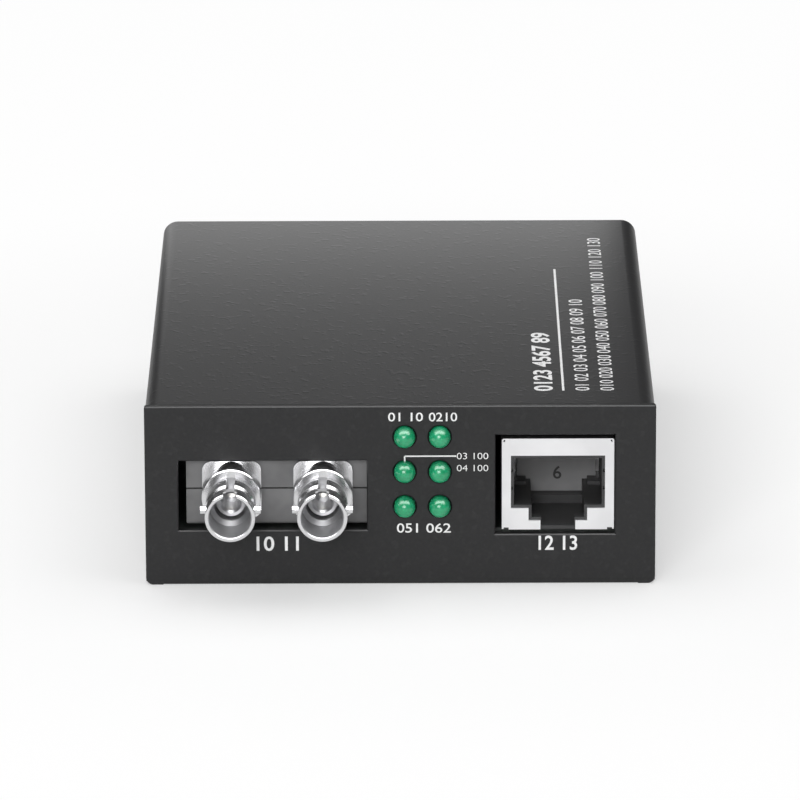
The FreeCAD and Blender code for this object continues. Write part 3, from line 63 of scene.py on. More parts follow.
class Value:
    """A number that varies over a surface; arithmetic on it adds Math nodes."""

    def __init__(self, surface: "Surface", socket: bpy.types.NodeSocket) -> None:
        """Wrap a socket.

        Args:
            surface: the surface whose nodes the number is made of.
            socket: the output that carries it.
        """
        self.surface = surface
        self.socket = socket

    def _math(self, operation: str, first: Number, second: Number) -> "Value":
        """Add one Math node.

        Args:
            operation: the node's operation.
            first: its first number.
            second: its second number.

        Returns:
            The node's result.
        """
        node = self.surface.node("ShaderNodeMath", {"operation": operation}, {0: first, 1: second})
        return Value(self.surface, node.outputs[0])

    def __add__(self, other: Number) -> "Value":
        """Sum."""
        return self._math("ADD", self, other)

    def __sub__(self, other: Number) -> "Value":
        """Difference."""
        return self._math("SUBTRACT", self, other)

    def __rsub__(self, other: Number) -> "Value":
        """Difference, the other way round."""
        return self._math("SUBTRACT", other, self)

    def __mul__(self, other: Number) -> "Value":
        """Product."""
        return self._math("MULTIPLY", self, other)

    def __pow__(self, other: Number) -> "Value":
        """Power."""
        return self._math("POWER", self, other)

    def size(self) -> "Value":
        """Distance from zero."""
        return self._math("ABSOLUTE", self, 0.0)

    def lesser(self, other: Number) -> "Value":
        """The lower of two numbers."""
        return self._math("MINIMUM", self, other)

    def greater(self, other: Number) -> "Value":
        """The higher of two numbers."""
        return self._math("MAXIMUM", self, other)

    def between(self, low: float, high: float) -> "Value":
        """Ramp smoothly from 0 to 1 between two numbers.

        Args:
            low: where the ramp starts.
            high: where it ends.

        Returns:
            The ramp.
        """
        settings = {"interpolation_type": "SMOOTHSTEP"}
        node = self.surface.node("ShaderNodeMapRange", settings, {
            "Value": self, "From Min": low, "From Max": high})
        return Value(self.surface, node.outputs["Result"])


class Surface:
    """One material and the nodes that make it."""

    LAYER_WEIGHT = 0.55  # how much each finer layer of a noise counts

    def __init__(self, name: str) -> None:
        """Start a material with an output and nothing else.

        Args:
            name: the material's name.
        """
        self.material = bpy.data.materials.new(name)
        self.material.use_nodes = True
        self.tree = self.material.node_tree
        self.tree.nodes.clear()
        self.output = self.node("ShaderNodeOutputMaterial")

    def node(self, kind: str, settings: Mapping[str, Any] | None = None,
             inputs: Mapping[Any, Any] | None = None) -> bpy.types.Node:
        """Add a node.

        Args:
            kind: the node's type.
            settings: its own properties, set before its inputs.
            inputs: values or links of its sockets, by name or number.

        Returns:
            The node.
        """
        node = self.tree.nodes.new(kind)
        for name, setting in (settings or {}).items():
            setattr(node, name, setting)
        for name, value in (inputs or {}).items():
            self.feed(node.inputs[name], value)
        return node

    def feed(self, socket: bpy.types.NodeSocket, value: Any) -> None:
        """Set a socket to a constant, or link it.

        Args:
            socket: the input.
            value: a number, a colour, a Value or another socket.
        """
        if isinstance(value, Value):
            value = value.socket
        if isinstance(value, bpy.types.NodeSocket):
            self.tree.links.new(value, socket)
        elif isinstance(value, tuple) and socket.type == "RGBA":
            socket.default_value = (*value, 1.0)
        else:
            socket.default_value = value

    def place(self) -> bpy.types.NodeSocket:
        """Give the point's place on the object, in metres."""
        return self.node("ShaderNodeTexCoord").outputs["Object"]

    def coordinates(self) -> tuple[Value, Value, Value]:
        """Give the point's X, Y and Z on the object, in metres."""
        axes = self.node("ShaderNodeSeparateXYZ", None, {0: self.place()}).outputs
        return Value(self, axes["X"]), Value(self, axes["Y"]), Value(self, axes["Z"])

    def noise(self, size: float, detail: float = 2.0, stretch: Stretch | None = None) -> Value:
        """Soft random field.

        Args:
            size: the width of one bump, in metres.
            detail: how many finer layers it has.
            stretch: the factor of each axis, or None for round bumps.

        Returns:
            A value that is about 0.5 on average.
        """
        here = self.place()
        if stretch:
            here = self.node("ShaderNodeVectorMath", {"operation": "MULTIPLY"},
                             {0: here, 1: stretch}).outputs[0]
        inputs = {"Vector": here, "Scale": 1.0 / size, "Detail": detail, "Roughness": self.LAYER_WEIGHT}
        return Value(self, self.node("ShaderNodeTexNoise", None, inputs).outputs["Fac"])

    def blend(self, factor: Number, first: Any, second: Any) -> bpy.types.NodeSocket:
        """Mix two colours.

        Args:
            factor: 0 gives the first and 1 the second.
            first: a colour or a socket.
            second: a colour or a socket.

        Returns:
            The mixed colour's socket.
        """
        node = self.node("ShaderNodeMix", {"data_type": "RGBA"})
        colours = [socket for socket in node.inputs if socket.type == "RGBA"]
        self.feed(node.inputs[0], factor)
        self.feed(colours[0], first)
        self.feed(colours[1], second)
        return next(socket for socket in node.outputs if socket.type == "RGBA")

    def bump(self, height: Value, distance: float) -> bpy.types.NodeSocket:
        """Turn a height into a normal.

        Args:
            height: the height, from 0 to 1.
            distance: how high 1 stands, in metres.

        Returns:
            A normal socket.
        """
        inputs = {"Strength": 1.0, "Distance": distance, "Height": height}
        return self.node("ShaderNodeBump", None, inputs).outputs["Normal"]

    def principled(self, inputs: Mapping[str, Any]) -> bpy.types.Material:
        """Finish the material with one Principled shader.

        Args:
            inputs: values or links of its sockets.

        Returns:
            The material.
        """
        shader = self.node("ShaderNodeBsdfPrincipled", None, inputs)
        self.tree.links.new(shader.outputs[0], self.output.inputs["Surface"])
        return self.material


# ---------------------------------------------------------------- finishes

@dataclass(frozen=True)
class PowderCoat:
    """Fine-textured powder coat on sheet steel, with the low bumps of orange peel."""

    colour: Colour = (0.013, 0.013, 0.0138)
    lighter: Colour = (0.019, 0.019, 0.0198)
    grain: float = 0.4 * MM
    relief: float = 0.008 * MM
    peel: float = 1.1 * MM
    peel_span: Span = (0.55, 0.75)
    peel_relief: float = 0.018 * MM
    peel_share: float = 0.3
    tone_span: Span = (0.2, 0.7)
    roughness: float = 0.37
    roughness_spread: float = 0.1
    shine: float = 0.3

    def material(self, name: str) -> bpy.types.Material:
        """Make the material: scattered low bumps over a fine grain, and a faint change of tone and gloss.

        Args:
            name: the material's name.

        Returns:
            The material.
        """
        surface = Surface(name)
        grain = surface.noise(self.grain, 4.0)
        bumps = surface.noise(self.peel, 1.5).between(*self.peel_span)
        height = bumps * self.peel_relief + grain * self.relief
        tone = (grain * (1.0 - self.peel_share) + bumps * self.peel_share).between(*self.tone_span)
        return surface.principled({
            "Base Color": surface.blend(tone, self.colour, self.lighter),
            "Roughness": grain * self.roughness_spread + self.roughness,
            "Specular IOR Level": self.shine,
            "Normal": surface.bump(height, 1.0)})


@dataclass(frozen=True)
class Plating:
    """Bright or satin metal plate with faint tool marks."""

    colour: Colour = (0.78, 0.78, 0.79)
    darker: Colour = (0.66, 0.66, 0.67)
    roughness: float = 0.14
    spread: float = 0.10
    mark: float = 0.25 * MM
    relief: float = 0.002 * MM
    marks_in_haze: float = 12.0
    haze_span: Span = (0.3, 0.7)

    def material(self, name: str) -> bpy.types.Material:
        """Make the material: metal whose gloss changes along its marks.

        Args:
            name: the material's name.

        Returns:
            The material.
        """
        surface = Surface(name)
        marks = surface.noise(self.mark, 3.0)
        haze = surface.noise(self.marks_in_haze * self.mark)
        return surface.principled({
            "Base Color": surface.blend(haze.between(*self.haze_span), self.darker, self.colour),
            "Metallic": 1.0,
            "Roughness": haze * self.spread + (self.roughness - self.spread / 2),
            "Normal": surface.bump(marks, self.relief)})


@dataclass(frozen=True)
class Moulding:
    """Moulded plastic with a fine eroded skin."""

    colour: Colour = (0.05, 0.05, 0.052)
    lighter: Colour = (0.07, 0.07, 0.072)
    roughness: float = 0.5
    grain: float = 0.18 * MM
    relief: float = 0.006 * MM
    roughness_spread: float = 0.1
    grains_in_cloud: float = 25.0
    cloud_span: Span = (0.35, 0.65)
    joint: float | None = None
    joint_span: Span = (0.09 * MM, 0.135 * MM)

    def material(self, name: str) -> bpy.types.Material:
        """Make the material: fine grain with a slow change of tone, and painted shade in the joint of two
        halves.

        Args:
            name: the material's name.

        Returns:
            The material.
        """
        surface = Surface(name)
        grain = surface.noise(self.grain, 3.0)
        cloud = surface.noise(self.grains_in_cloud * self.grain)
        colour = surface.blend(cloud.between(*self.cloud_span), self.colour, self.lighter)
        if self.joint is not None:
            height = surface.coordinates()[2]
            open_face = (height - self.joint).size().between(*self.joint_span)
            # painted shade: a dark band along the joint of the two halves, where the seam's shade falls
            colour = surface.blend(open_face, DEEP_SHADE, colour)
        return surface.principled({
            "Base Color": colour,
            "Roughness": grain * self.roughness_spread + (self.roughness - self.roughness_spread / 2),
            "Normal": surface.bump(grain, self.relief)})


@dataclass(frozen=True)
class LampResin:
    """Tinted, slightly milky resin of an indicator lamp that is off."""

    colour: Colour = (0.006, 0.29, 0.12)
    paler: Colour = (0.018, 0.37, 0.17)
    roughness: float = 0.22
    roughness_spread: float = 0.06
    flow: float = 1.4 * MM
    flow_span: Span = (0.3, 0.8)
    milkiness: float = 0.15
    milk_depth: float = 0.5 * MM
    coat: float = 0.4
    coat_roughness: float = 0.16

    def material(self, name: str) -> bpy.types.Material:
        """Make the material: a clear coat over a resin with faint flow clouds.

        Args:
            name: the material's name.

        Returns:
            The material.
        """
        surface = Surface(name)
        flow = surface.noise(self.flow)
        return surface.principled({
            "Base Color": surface.blend(flow.between(*self.flow_span), self.colour, self.paler),
            "Roughness": flow * self.roughness_spread + self.roughness,
            "Subsurface Weight": self.milkiness,
            "Subsurface Scale": self.milk_depth,
            "Coat Weight": self.coat,
            "Coat Roughness": self.coat_roughness})


@dataclass(frozen=True)
class PortPlate:
    """Satin nickel on a turned port: ringed by the tool, and rougher inside the bore, where painted shade
    also darkens its colour.
    """

    colour: Colour = (0.67, 0.67, 0.68)
    painted_bore_shade: Colour = (0.42, 0.42, 0.43)
    roughness: float = 0.20
    bore_roughness: float = 0.42
    axis_middle: float = -17.1 * MM
    axis_spread: float = 12.7 * MM
    axis_height: float = 13.5 * MM
    bore: float = 2.95 * MM
    ring: float = 0.12 * MM
    ring_stretch: Stretch = (0.02, 1.0, 0.02)
    relief: float = 0.0004 * MM
    roughness_spread: float = 0.04

    def material(self, name: str) -> bpy.types.Material:
        """Make the material: plate whose gloss follows the tool's rings and dies away inside the bore, where
        its colour darkens as painted shade.

        Args:
            name: the material's name.

        Returns:
            The material.
        """
        surface = Surface(name)
        x, _, z = surface.coordinates()
        across = (x - self.axis_middle).size() - self.axis_spread / 2
        up = z - self.axis_height
        radius = (across * across + up * up) ** 0.5
        inside = radius.between(self.bore + self.ring, self.bore)
        rings = surface.noise(self.ring, stretch=self.ring_stretch)
        duller = inside * (self.bore_roughness - self.roughness)
        return surface.principled({
            # painted shade: the colour darkens inside the bore, where shade falls
            "Base Color": surface.blend(inside, self.colour, self.painted_bore_shade),
            "Metallic": 1.0,
            "Roughness": rings * self.roughness_spread + duller + self.roughness,
            "Normal": surface.bump(rings, self.relief)})


@dataclass(frozen=True)
class Ink:
    """Screen-printed ink, very slightly broken at the surface's grain."""

    colour: Colour = (0.80, 0.80, 0.80)
    thinner: Colour = (0.66, 0.66, 0.66)
    mottle: float = 0.3 * MM
    mottle_span: Span = (0.55, 0.75)
    roughness: float = 0.45
    roughness_spread: float = 0.2

    def material(self, name: str) -> bpy.types.Material:
        """Make the material: even ink with a faint mottle.

        Args:
            name: the material's name.

        Returns:
            The material.
        """
        surface = Surface(name)
        mottle = surface.noise(self.mottle, 3.0)
        return surface.principled({
            "Base Color": surface.blend(mottle.between(*self.mottle_span), self.colour, self.thinner),
            "Roughness": mottle * self.roughness_spread + self.roughness})


@dataclass(frozen=True)
class SolderMask:
    """Black mask of a circuit board, with the copper runs under it as a slightly lighter weave."""

    colour: Colour = (0.012, 0.014, 0.013)
    lighter: Colour = (0.020, 0.024, 0.021)
    roughness: float = 0.4
    roughness_spread: float = 0.08
    run: float = 0.9 * MM
    run_stretch: Stretch = (1.0, 0.15, 1.0)
    run_span: Span = (0.5, 0.56)
    relief: float = 0.02 * MM

    def material(self, name: str) -> bpy.types.Material:
        """Make the material: satin mask over faint straight runs.

        Args:
            name: the material's name.

        Returns:
            The material.
        """
        surface = Surface(name)
        runs = surface.noise(self.run, 1.0, self.run_stretch).between(*self.run_span)
        return surface.principled({
            "Base Color": surface.blend(runs, self.colour, self.lighter),
            "Roughness": runs * self.roughness_spread + self.roughness,
            "Normal": surface.bump(runs, self.relief)})


@dataclass(frozen=True)
class CrossDrive:
    """Black-plated screw heads, each with a cross recess in its outer face, drawn as a bump with painted
    shade.
    """

    colour: Colour = (0.06, 0.06, 0.062)
    roughness: float = 0.34
    rougher: float = 0.3
    spread: float = 60.0 * MM
    height: float = 4.0 * MM
    arm: float = 1.1 * MM
    width: float = 0.34 * MM
    depth: float = 0.35 * MM

    def material(self, name: str) -> bpy.types.Material:
        """Make the material: plate that sinks inside the cross, where painted shade darkens its colour.

        Args:
            name: the material's name.

        Returns:
            The material.
        """
        surface = Surface(name)
        _, y, z = surface.coordinates()
        along = (y.size() - self.spread / 2).size()
        up = (z - self.height).size()
        narrow = along.lesser(up).between(self.width, self.width / 2)
        short = along.greater(up).between(self.arm, self.arm - self.width / 2)
        cross = narrow * short
        return surface.principled({
            # painted shade: the cross turns near-black, standing in for the shade in the recess
            "Base Color": surface.blend(cross, self.colour, DEEP_SHADE),
            "Metallic": 1.0,
            "Roughness": cross * self.rougher + self.roughness,
            "Normal": surface.bump(1.0 - cross, self.depth)})


class Finish(Enum):
    """The finishes of the converter's pieces."""

    CASE = PowderCoat()
    BLACK_SCREW = CrossDrive()
    BOARD = SolderMask()
    STANDOFF = Plating((0.72, 0.70, 0.64), (0.6, 0.58, 0.52), 0.25)
    STEEL = Plating((0.66, 0.67, 0.69), (0.52, 0.53, 0.55), 0.3)
    # painted shade: the module's material darkens along its seam at this height
    MODULE = Moulding((0.118, 0.118, 0.120), (0.150, 0.150, 0.152), 0.5, joint=13.5 * MM)
    PORT = PortPlate()
    # painted shade: the sleeve's plate is given a darker colour for the shade inside the port
    SLEEVE = Plating((0.50, 0.50, 0.51), (0.42, 0.42, 0.43), 0.34)
    CAN = Plating((0.70, 0.69, 0.66), (0.6, 0.59, 0.56), 0.28)
    TINNED = Plating((0.72, 0.72, 0.70), (0.6, 0.6, 0.58), 0.35)
    LAMP = LampResin()
    BLACK_MOULDING = Moulding((0.020, 0.020, 0.021), (0.028, 0.028, 0.029), 0.45)
    SHIELD = Plating((0.80, 0.80, 0.81), (0.74, 0.74, 0.75), 0.34, 0.08, 0.5 * MM, 0.002 * MM)
    INSULATOR = Moulding((0.024, 0.024, 0.025), (0.032, 0.032, 0.033), 0.45)
    CARRIER = Moulding((0.155, 0.155, 0.158), (0.185, 0.185, 0.188), 0.5)
    # painted shade: near-black colour for the mould number, standing in for the shade inside its engraving
    ENGRAVED = Moulding((0.012, 0.012, 0.012), (0.016, 0.016, 0.016), 0.6)
    GOLD = Plating((0.86, 0.66, 0.30), (0.78, 0.58, 0.24), 0.2)
    CHIP = Moulding((0.026, 0.026, 0.028), (0.036, 0.036, 0.038), 0.6)
    ALUMINIUM = Plating((0.78, 0.79, 0.80), (0.68, 0.69, 0.70), 0.3)
    FERRITE = Moulding((0.09, 0.09, 0.095), (0.12, 0.12, 0.125), 0.7)
    WHITE_INK = Ink()

    def material(self) -> bpy.types.Material:
        """Give this finish's material, made once."""
        name = "finish_" + self.name.lower()
        return bpy.data.materials.get(name) or self.value.material(name)


# ---------------------------------------------------------------- small helpers

def edges(node: str) -> tuple[Vector, Vector]:
    """Give a solid's lowest and highest corners as vectors.

    Args:
        node: the solid's name.

    Returns:
        The two corners.
    """
    low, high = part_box(node)
    return Vector(low), Vector(high)


def centre(node: str) -> Vector:
    """Give the middle of a solid's box.

    Args:
        node: the solid's name.

    Returns:
        The point.
    """
    low, high = edges(node)
    return (low + high) / 2


def adopt(piece: bpy.types.Object, finish: Finish) -> None:
    """Give a new piece its finish and the body that carries it.

    Args:
        piece: the object.
        finish: its finish.
    """
    piece.data.materials.clear()
    piece.data.materials.append(finish.material())
    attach(piece, ROOT_BODY)
    log.info("added %s", piece.name)


# ---------------------------------------------------------------- sub-assemblies

@dataclass
class SubAssembly:
    """A group of the converter's solids and the finish of each."""

    finishes: Mapping[Finish, Sequence[str]]

    def build(self) -> None:
        """Give each solid of the group its finish."""
        for finish, names in self.finishes.items():
            for name in names:
                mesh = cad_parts[name].data
                mesh.materials.clear()
                mesh.materials.append(finish.material())
                log.info("dressed %s in %s", name, finish.name.lower())


@dataclass
class Case(SubAssembly):
    """Folded tray, folded cover and the screws that join them."""

    finishes: Mapping[Finish, Sequence[str]] = field(default_factory=lambda: {
        Finish.CASE: ("base_tray", "top_cover"),
        Finish.BLACK_SCREW: ("cover_screws",)})


@dataclass
class Transceiver(SubAssembly):
    """Fibre module with its two bayonet ports."""

    finishes: Mapping[Finish, Sequence[str]] = field(default_factory=lambda: {
        Finish.MODULE: ("transceiver_base", "transceiver_cover"),
        Finish.PORT: ("transmit_port", "receive_port"),
        Finish.SLEEVE: ("transmit_sleeve", "receive_sleeve"),
        Finish.CAN: ("laser_can", "detector_can"),
        Finish.BOARD: ("transceiver_board",),
        Finish.TINNED: ("transceiver_pins",)})


@dataclass
class LampBank(SubAssembly):
    """Six indicator lamps, their leads and their holder."""

    finishes: Mapping[Finish, Sequence[str]] = field(default_factory=lambda: {
        Finish.LAMP: tuple(f"lamp_{number}" for number in range(1, 7)),
        Finish.TINNED: ("lamp_leads",),
        Finish.BLACK_MOULDING: ("lamp_holder",)})


@dataclass
class CopperJack(SubAssembly):
    """Shielded eight-way socket, with a mould number at the back of its cavity."""

    finishes: Mapping[Finish, Sequence[str]] = field(default_factory=lambda: {
        Finish.SHIELD: ("jack_shield",),
        Finish.INSULATOR: ("jack_housing",),
        Finish.CARRIER: ("contact_carrier",),
        Finish.GOLD: ("jack_contacts",)})
    mould_number: str = "6"
    number_height: float = 1.85 * MM
    number_place: float = 12.3 * MM
    number_right: float = 0.15 * MM
    number_weight: float = 0.03 * MM

    def build(self) -> None:
        """Dress the socket and sink the mould number, dark with painted shade, into its rear wall."""
        super().build()
        across = centre("contact_carrier").x + self.number_right
        place = Vector((across, edges("contact_carrier")[0].y, self.number_place))
        # painted shade: the number is a thin dark film that stands in for a shaded engraving
        Print(finish=Finish.ENGRAVED, slot="insulator_plastic").number(
            "mould_number", self.mould_number, place, Facing.FRONT, self.number_height,
            weight=self.number_weight)


@dataclass
class Electronics(SubAssembly):
    """Main board, what holds it and what stands on it."""

    finishes: Mapping[Finish, Sequence[str]] = field(default_factory=lambda: {
        Finish.BOARD: ("main_board",),
        Finish.STANDOFF: ("board_standoffs",),
        Finish.STEEL: ("board_screws",),
        Finish.CHIP: ("converter_chip", "memory_chip", "regulator", "line_transformer"),
        Finish.CAN: ("crystal",),
        Finish.ALUMINIUM: ("capacitors",),
        Finish.FERRITE: ("power_inductor",)})


@dataclass
class PowerInlet(SubAssembly):
    """Round power socket at the rear."""

    finishes: Mapping[Finish, Sequence[str]] = field(default_factory=lambda: {
        Finish.BLACK_MOULDING: ("inlet_housing",),
        Finish.TINNED: ("inlet_blades", "inlet_pin")})


# ---------------------------------------------------------------- print

class Facing(Enum):
    """Which face of the case a print lies on, as its right, up and outward directions."""

    FRONT = ((1, 0, 0), (0, 0, 1), (0, -1, 0))
    TOP_SIDEWAYS = ((0, 1, 0), (-1, 0, 0), (0, 0, 1))

    def frame_at(self, place: Vector) -> Matrix:
        """Give the matrix that carries a flat print onto the face.

        Args:
            place: where the print's own origin goes.

        Returns:
            A 4 by 4 matrix.
        """
        columns = Matrix([Vector(axis) for axis in self.value]).transposed()
        return Matrix.Translation(place) @ columns.to_4x4()


@dataclass
class Print:
    """White print on the case: plain numbers and rules."""

    finish: Finish = Finish.WHITE_INK
    slot: str = "case_coat"
    thickness: float = 0.012 * MM
    resolution: int = 4

    def number(self, name: str, words: str, place: Vector, facing: Facing, height: float,
               width: float | None = None, weight: float = 0.0) -> None:
        """Print a row of digits, centred on a place.

        Args:
            name: the piece's name.
            words: the digits.
            place: the middle of the row, on the face.
            facing: the face.
            height: the digits' height.
            width: the row's width, or None for the digits' own.
            weight: how much bolder the strokes are, in metres.
        """
        curve = bpy.data.curves.new(name, "FONT")
        curve.body = words
        curve.resolution_u = self.resolution
        low, high = self._extent(self._mesh_of(curve))
        scale_up = height / (high.y - low.y)
        scale_across = width / (high.x - low.x) if width else scale_up
        curve.offset = weight / scale_up
        curve.extrude = self.thickness / 2 / scale_up
        mesh = self._mesh_of(curve)
        middle = (low + high) / 2
        shape = Matrix.Diagonal((scale_across, scale_up, scale_up, 1)) @ Matrix.Translation(-middle)
        mesh.transform(facing.frame_at(place) @ shape)
        self._keep(name, mesh)

    def rule(self, name: str, place: Vector, facing: Facing, across: float, up: float) -> None:
        """Print a plain rule, centred on a place.

        Args:
            name: the piece's name.
            place: its middle, on the face.
            facing: the face.
            across: its size to the right.
            up: its size upwards.
        """
        half = Vector((across / 2, up / 2, self.thickness / 2))
        corners = [Vector((x, y, z)) for z in (-half.z, half.z)
                   for x, y in ((-half.x, -half.y), (half.x, -half.y), (half.x, half.y), (-half.x, half.y))]
        faces = [(3, 2, 1, 0), (4, 5, 6, 7)] + [(i, (i + 1) % 4, (i + 1) % 4 + 4, i + 4) for i in range(4)]
        mesh = bpy.data.meshes.new(name)
        mesh.from_pydata(corners, [], faces)
        mesh.transform(facing.frame_at(place))
        self._keep(name, mesh)

    def _mesh_of(self, curve: bpy.types.TextCurve) -> bpy.types.Mesh:
        """Turn a row of text into a mesh.

        Args:
            curve: the text.

        Returns:
            The mesh, a new one each time.
        """
        outline = bpy.data.objects.new(curve.name + "_outline", curve)
        bpy.context.scene.collection.objects.link(outline)
        graph = bpy.context.evaluated_depsgraph_get()
        mesh = bpy.data.meshes.new_from_object(outline.evaluated_get(graph))
        bpy.data.objects.remove(outline)
        return mesh

    def _extent(self, mesh: bpy.types.Mesh) -> tuple[Vector, Vector]:
        """Give the lowest and highest corners of a mesh.

        Args:
            mesh: the mesh.

        Returns:
            The two corners.
        """
        points = [vertex.co for vertex in mesh.vertices]
        return (Vector(map(min, zip(*points))), Vector(map(max, zip(*points))))

    def _keep(self, name: str, mesh: bpy.types.Mesh) -> None:
        """Make a piece of a printed mesh.

        Args:
            name: the piece's name.
            mesh: its mesh.
        """
        piece = bpy.data.objects.new(name, mesh)
        bpy.context.scene.collection.objects.link(piece)
        adopt(piece, self.finish)


@dataclass(frozen=True)
class Row:
    """One row of plain digits: what it says, its size and where its middle lies."""

    words: str
    across: float
    up: float
    width: float
    height: float
    weight: float = 0.015 * MM


@dataclass
class FrontPrint:
    """Numbers and the leader rule round the lamps and under the sockets."""

    ink: Print
    lamp_rows: Sequence[tuple[str, Row]] = (
        ("lamp_1", Row("01 10", 0.13 * MM, 2.89 * MM, 4.8 * MM, 1.25 * MM)),
        ("lamp_2", Row("0210", 0.46 * MM, 2.87 * MM, 3.9 * MM, 1.25 * MM)),
        ("lamp_4", Row("03 100", 4.55 * MM, 2.25 * MM, 4.4 * MM, 0.95 * MM, -0.01 * MM)),
        ("lamp_4", Row("04 100", 4.55 * MM, 0.50 * MM, 4.4 * MM, 0.95 * MM, -0.01 * MM)),
        ("lamp_5", Row("051", 0.35 * MM, -3.16 * MM, 2.9 * MM, 1.35 * MM)),
        ("lamp_6", Row("062", -0.18 * MM, -3.18 * MM, 3.4 * MM, 1.35 * MM)))
    port_row: Row = Row("10 11", 0.0, -1.79 * MM, 5.8 * MM, 2.05 * MM, 0.045 * MM)
    socket_row: Row = Row("12 13", 0.0, -1.79 * MM, 5.3 * MM, 2.05 * MM, 0.045 * MM)
    rule_width: float = 0.2 * MM
    leader_rise: float = 2.25 * MM
    leader_drop: float = 0.85 * MM
    leader_gap: float = 2.29 * MM

    def build(self) -> None:
        """Print the front panel."""
        for number, (lamp, row) in enumerate(self.lamp_rows, 1):
            self._row(f"print_lamp_{number}", row, centre(lamp))
        beside = centre("lamp_4")
        self._leader(centre("lamp_3"), beside.x + self.leader_gap, beside.z + self.leader_rise)
        sill = edges("transceiver_base")[0].z
        ports = centre("transmit_port").lerp(centre("receive_port"), 0.5)
        for name, row, above in (("print_port", self.port_row, ports),
                                 ("print_socket", self.socket_row, centre("jack_shield"))):
            self._row(name, row, Vector((above.x, above.y, sill)))

    def _row(self, name: str, row: Row, start: Vector) -> None:
        """Print a row beside a place.

        Args:
            name: the piece's name.
            row: the row.
            start: the place that the row's own is counted from.
        """
        middle = Vector((start.x + row.across, edges("base_tray")[0].y, start.z + row.up))
        self.ink.number(name, row.words, middle, Facing.FRONT, row.height, row.width, row.weight)

    def _leader(self, lamp: Vector, end: float, height: float) -> None:
        """Print the rule that leads from a lamp to its number.

        Args:
            lamp: the lamp's middle.
            end: where the rule ends.
            height: how high it runs.
        """
        face = edges("base_tray")[0].y
        length = end - lamp.x
        middle = Vector((lamp.x + length / 2, face, height))
        self.ink.rule("print_leader", middle, Facing.FRONT, length, self.rule_width)
        middle = Vector((lamp.x, face, height - self.leader_drop / 2))
        self.ink.rule("print_leader_drop", middle, Facing.FRONT, self.rule_width, self.leader_drop)


@dataclass
class TopPrint:
    """Rule and three rows of plain numbers along the cover's right side."""

    ink: Print
    start: float = 6.0 * MM
    rows: Sequence[Row] = (
        Row("0123 4567 89", 20.02 * MM, 0.0, 27.9 * MM, 2.5 * MM, 0.09 * MM),
        Row("01 02 03 04 05 06 07 08 09 10", 25.45 * MM, 0.0, 44.7 * MM, 2.0 * MM, 0.0),
        Row("010 020 030 040 050 060 070 080 090 100 110 120 130", 28.9 * MM, 0.0, 77.0 * MM, 1.95 * MM, 0.0))
    rule_place: float = 22.77 * MM
    rule_width: float = 0.33 * MM
    rule_length: float = 60.5 * MM

    def build(self) -> None:
        """Print the cover."""
        for number, row in enumerate(self.rows, 1):
            self.ink.number(f"print_row_{number}", row.words, self._middle(row.across, row.width),
                            Facing.TOP_SIDEWAYS, row.height, row.width, row.weight)
        self.ink.rule("print_stripe", self._middle(self.rule_place, self.rule_length), Facing.TOP_SIDEWAYS,
                      self.rule_length, self.rule_width)

    def _middle(self, across: float, length: float) -> Vector:
        """Give the middle of a print that starts at the common line.

        Args:
            across: its place across the cover.
            length: its length.

        Returns:
            The point, on the cover's top.
        """
        low, high = edges("top_cover")
        return Vector((across, low.y + self.start + length / 2, high.z))


# ---------------------------------------------------------------- table, lamps and camera

@dataclass(frozen=True)
class SoftLamp:
    """A rectangular lamp: where it hangs, what it faces, its size, its power and what it serves."""

    place: Colour
    aim: Colour
    across: float
    up: float
    power: float
    only_reflected: bool = False


@dataclass(frozen=True)
class Viewpoint:
    """Where the camera stands, how it is turned and how long its lens is."""

    distance: float = 1086.7 * MM
    elevation: float = math.radians(17.23)
    roll: float = math.radians(-0.192)
    aim_height: float = 12.32 * MM
    focal_length: float = 337.2
    film_width: float = 36.0
    nearest: float = 0.01
    farthest: float = 20.0


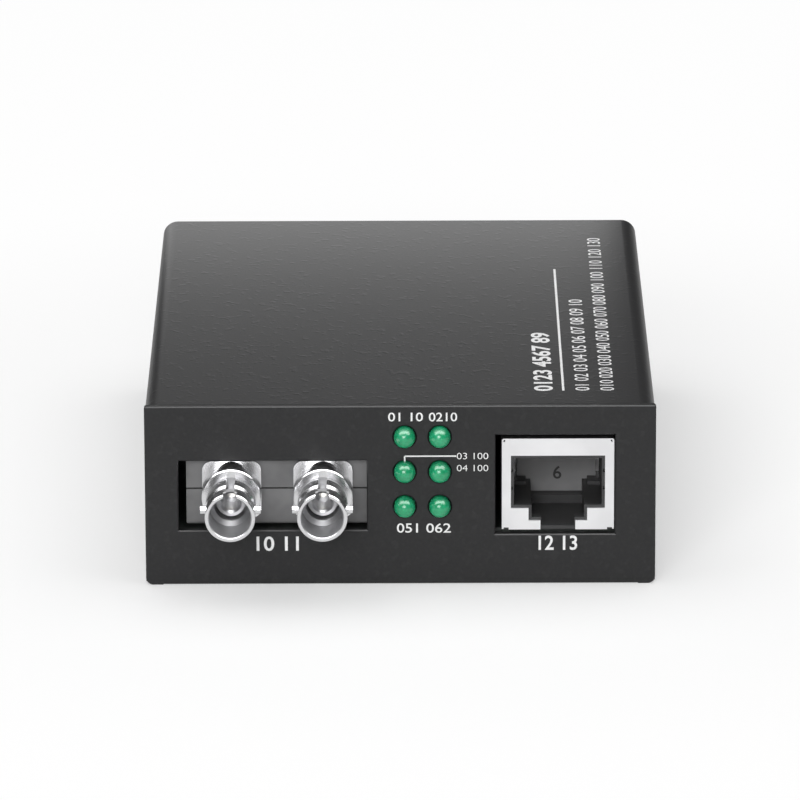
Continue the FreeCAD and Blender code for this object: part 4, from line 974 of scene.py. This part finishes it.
@dataclass
class Studio:
    """White table, soft lamps and the camera."""

    view: Viewpoint = Viewpoint()
    floor_size: float = 3.0
    floor_colour: Colour = (0.97, 0.97, 0.97)
    glow: float = 0.35
    far_glow: float = 0.94
    glow_span: Span = (0.05, 0.16)
    room: float = 0.07
    lamps: Mapping[str, SoftLamp] = field(default_factory=lambda: {
        "key_lamp": SoftLamp((-0.12, -0.75, 0.30), (0.0, -0.03, 0.01), 0.4, 0.3, 3.8),
        "top_lamp": SoftLamp((0.0, 0.08, 0.60), (0.0, 0.08, 0.0), 1.0, 0.8, 4.3),
        "sky_card": SoftLamp((0.0, -0.20, 0.50), (0.0, -0.047, 0.026), 1.2, 0.35, 8.0, True),
        "rear_card": SoftLamp((-0.009, 0.085, 0.036), (-0.008, 0.0, 0.036), 0.086, 0.024, 0.0118, True)})

    def build(self) -> None:
        """Set the whole stage."""
        self._floor()
        self._world()
        for name, lamp in self.lamps.items():
            self._lamp(name, lamp)
        self._camera()
        bpy.context.scene.view_settings.view_transform = "Standard"

    def _floor(self) -> None:
        """Lay the floor, which shows white, more so away from the object, and keeps the object's shadow."""
        half = self.floor_size / 2
        mesh = bpy.data.meshes.new("floor")
        corners = [(-half, -half, 0), (half, -half, 0), (half, half, 0), (-half, half, 0)]
        mesh.from_pydata(corners, [], [(0, 1, 2, 3)])
        floor = bpy.data.objects.new("floor", mesh)
        bpy.context.scene.collection.objects.link(floor)
        surface = Surface("floor")
        seen = surface.node("ShaderNodeLightPath").outputs
        shown = Value(surface, seen["Is Camera Ray"]) + Value(surface, seen["Is Glossy Ray"]) + Value(
            surface, seen["Is Transmission Ray"])
        x, y, _ = surface.coordinates()
        away = (x * x + y * y) ** 0.5
        glow = away.between(*self.glow_span) * (self.far_glow - self.glow) + self.glow
        matt = surface.node("ShaderNodeBsdfDiffuse", None, {"Color": self.floor_colour})
        white = surface.node("ShaderNodeEmission", None, {"Color": (1.0, 1.0, 1.0), "Strength": 1.0})
        mix = surface.node("ShaderNodeMixShader", None,
                           {0: shown * glow, 1: matt.outputs[0], 2: white.outputs[0]})
        surface.tree.links.new(mix.outputs[0], surface.output.inputs["Surface"])
        mesh.materials.append(surface.material)

    def _world(self) -> None:
        """Fill the room with even soft light."""
        world = bpy.data.worlds.new("room")
        bpy.context.scene.world = world
        world.use_nodes = True
        background = world.node_tree.nodes["Background"]
        background.inputs["Color"].default_value = (1.0, 1.0, 1.0, 1.0)
        background.inputs["Strength"].default_value = self.room

    def _lamp(self, name: str, lamp: SoftLamp) -> None:
        """Hang a soft rectangular lamp.

        Args:
            name: the lamp's name.
            lamp: the lamp.
        """
        light = bpy.data.lights.new(name, "AREA")
        light.shape = "RECTANGLE"
        light.size = lamp.across
        light.size_y = lamp.up
        light.energy = lamp.power
        hung = bpy.data.objects.new(name, light)
        place = Vector(lamp.place)
        hung.location = place
        hung.rotation_euler = (Vector(lamp.aim) - place).to_track_quat("-Z", "Y").to_euler()
        hung.visible_camera = False
        hung.visible_diffuse = not lamp.only_reflected
        bpy.context.scene.collection.objects.link(hung)

    def _camera(self) -> None:
        """Stand the camera in front, a little above the case, with a long lens."""
        view = self.view
        middle = centre("base_tray")
        aim = Vector((middle.x, middle.y, view.aim_height))
        back = Vector((0, -math.cos(view.elevation), math.sin(view.elevation)))
        right = Vector((1, 0, 0))
        up = back.cross(right)
        turned_right = right * math.cos(view.roll) + up * math.sin(view.roll)
        turned_up = up * math.cos(view.roll) - right * math.sin(view.roll)
        lens = bpy.data.cameras.new("camera")
        lens.lens = view.focal_length
        lens.sensor_width = view.film_width
        lens.clip_start = view.nearest
        lens.clip_end = view.farthest
        camera = bpy.data.objects.new("camera", lens)
        turn = Matrix([turned_right, turned_up, back]).transposed().to_4x4()
        camera.matrix_world = Matrix.Translation(aim + back * view.distance) @ turn
        bpy.context.scene.collection.objects.link(camera)
        bpy.context.scene.camera = camera


def main() -> None:
    """Dress the converter and set its stage."""
    logging.basicConfig(level=logging.INFO, format="%(name)s: %(message)s")
    for group in (Case(), Transceiver(), LampBank(), CopperJack(), Electronics(), PowerInlet()):
        group.build()
    ink = Print()
    FrontPrint(ink).build()
    TopPrint(ink).build()
    Studio().build()


if __name__ == "__main__":
    main()
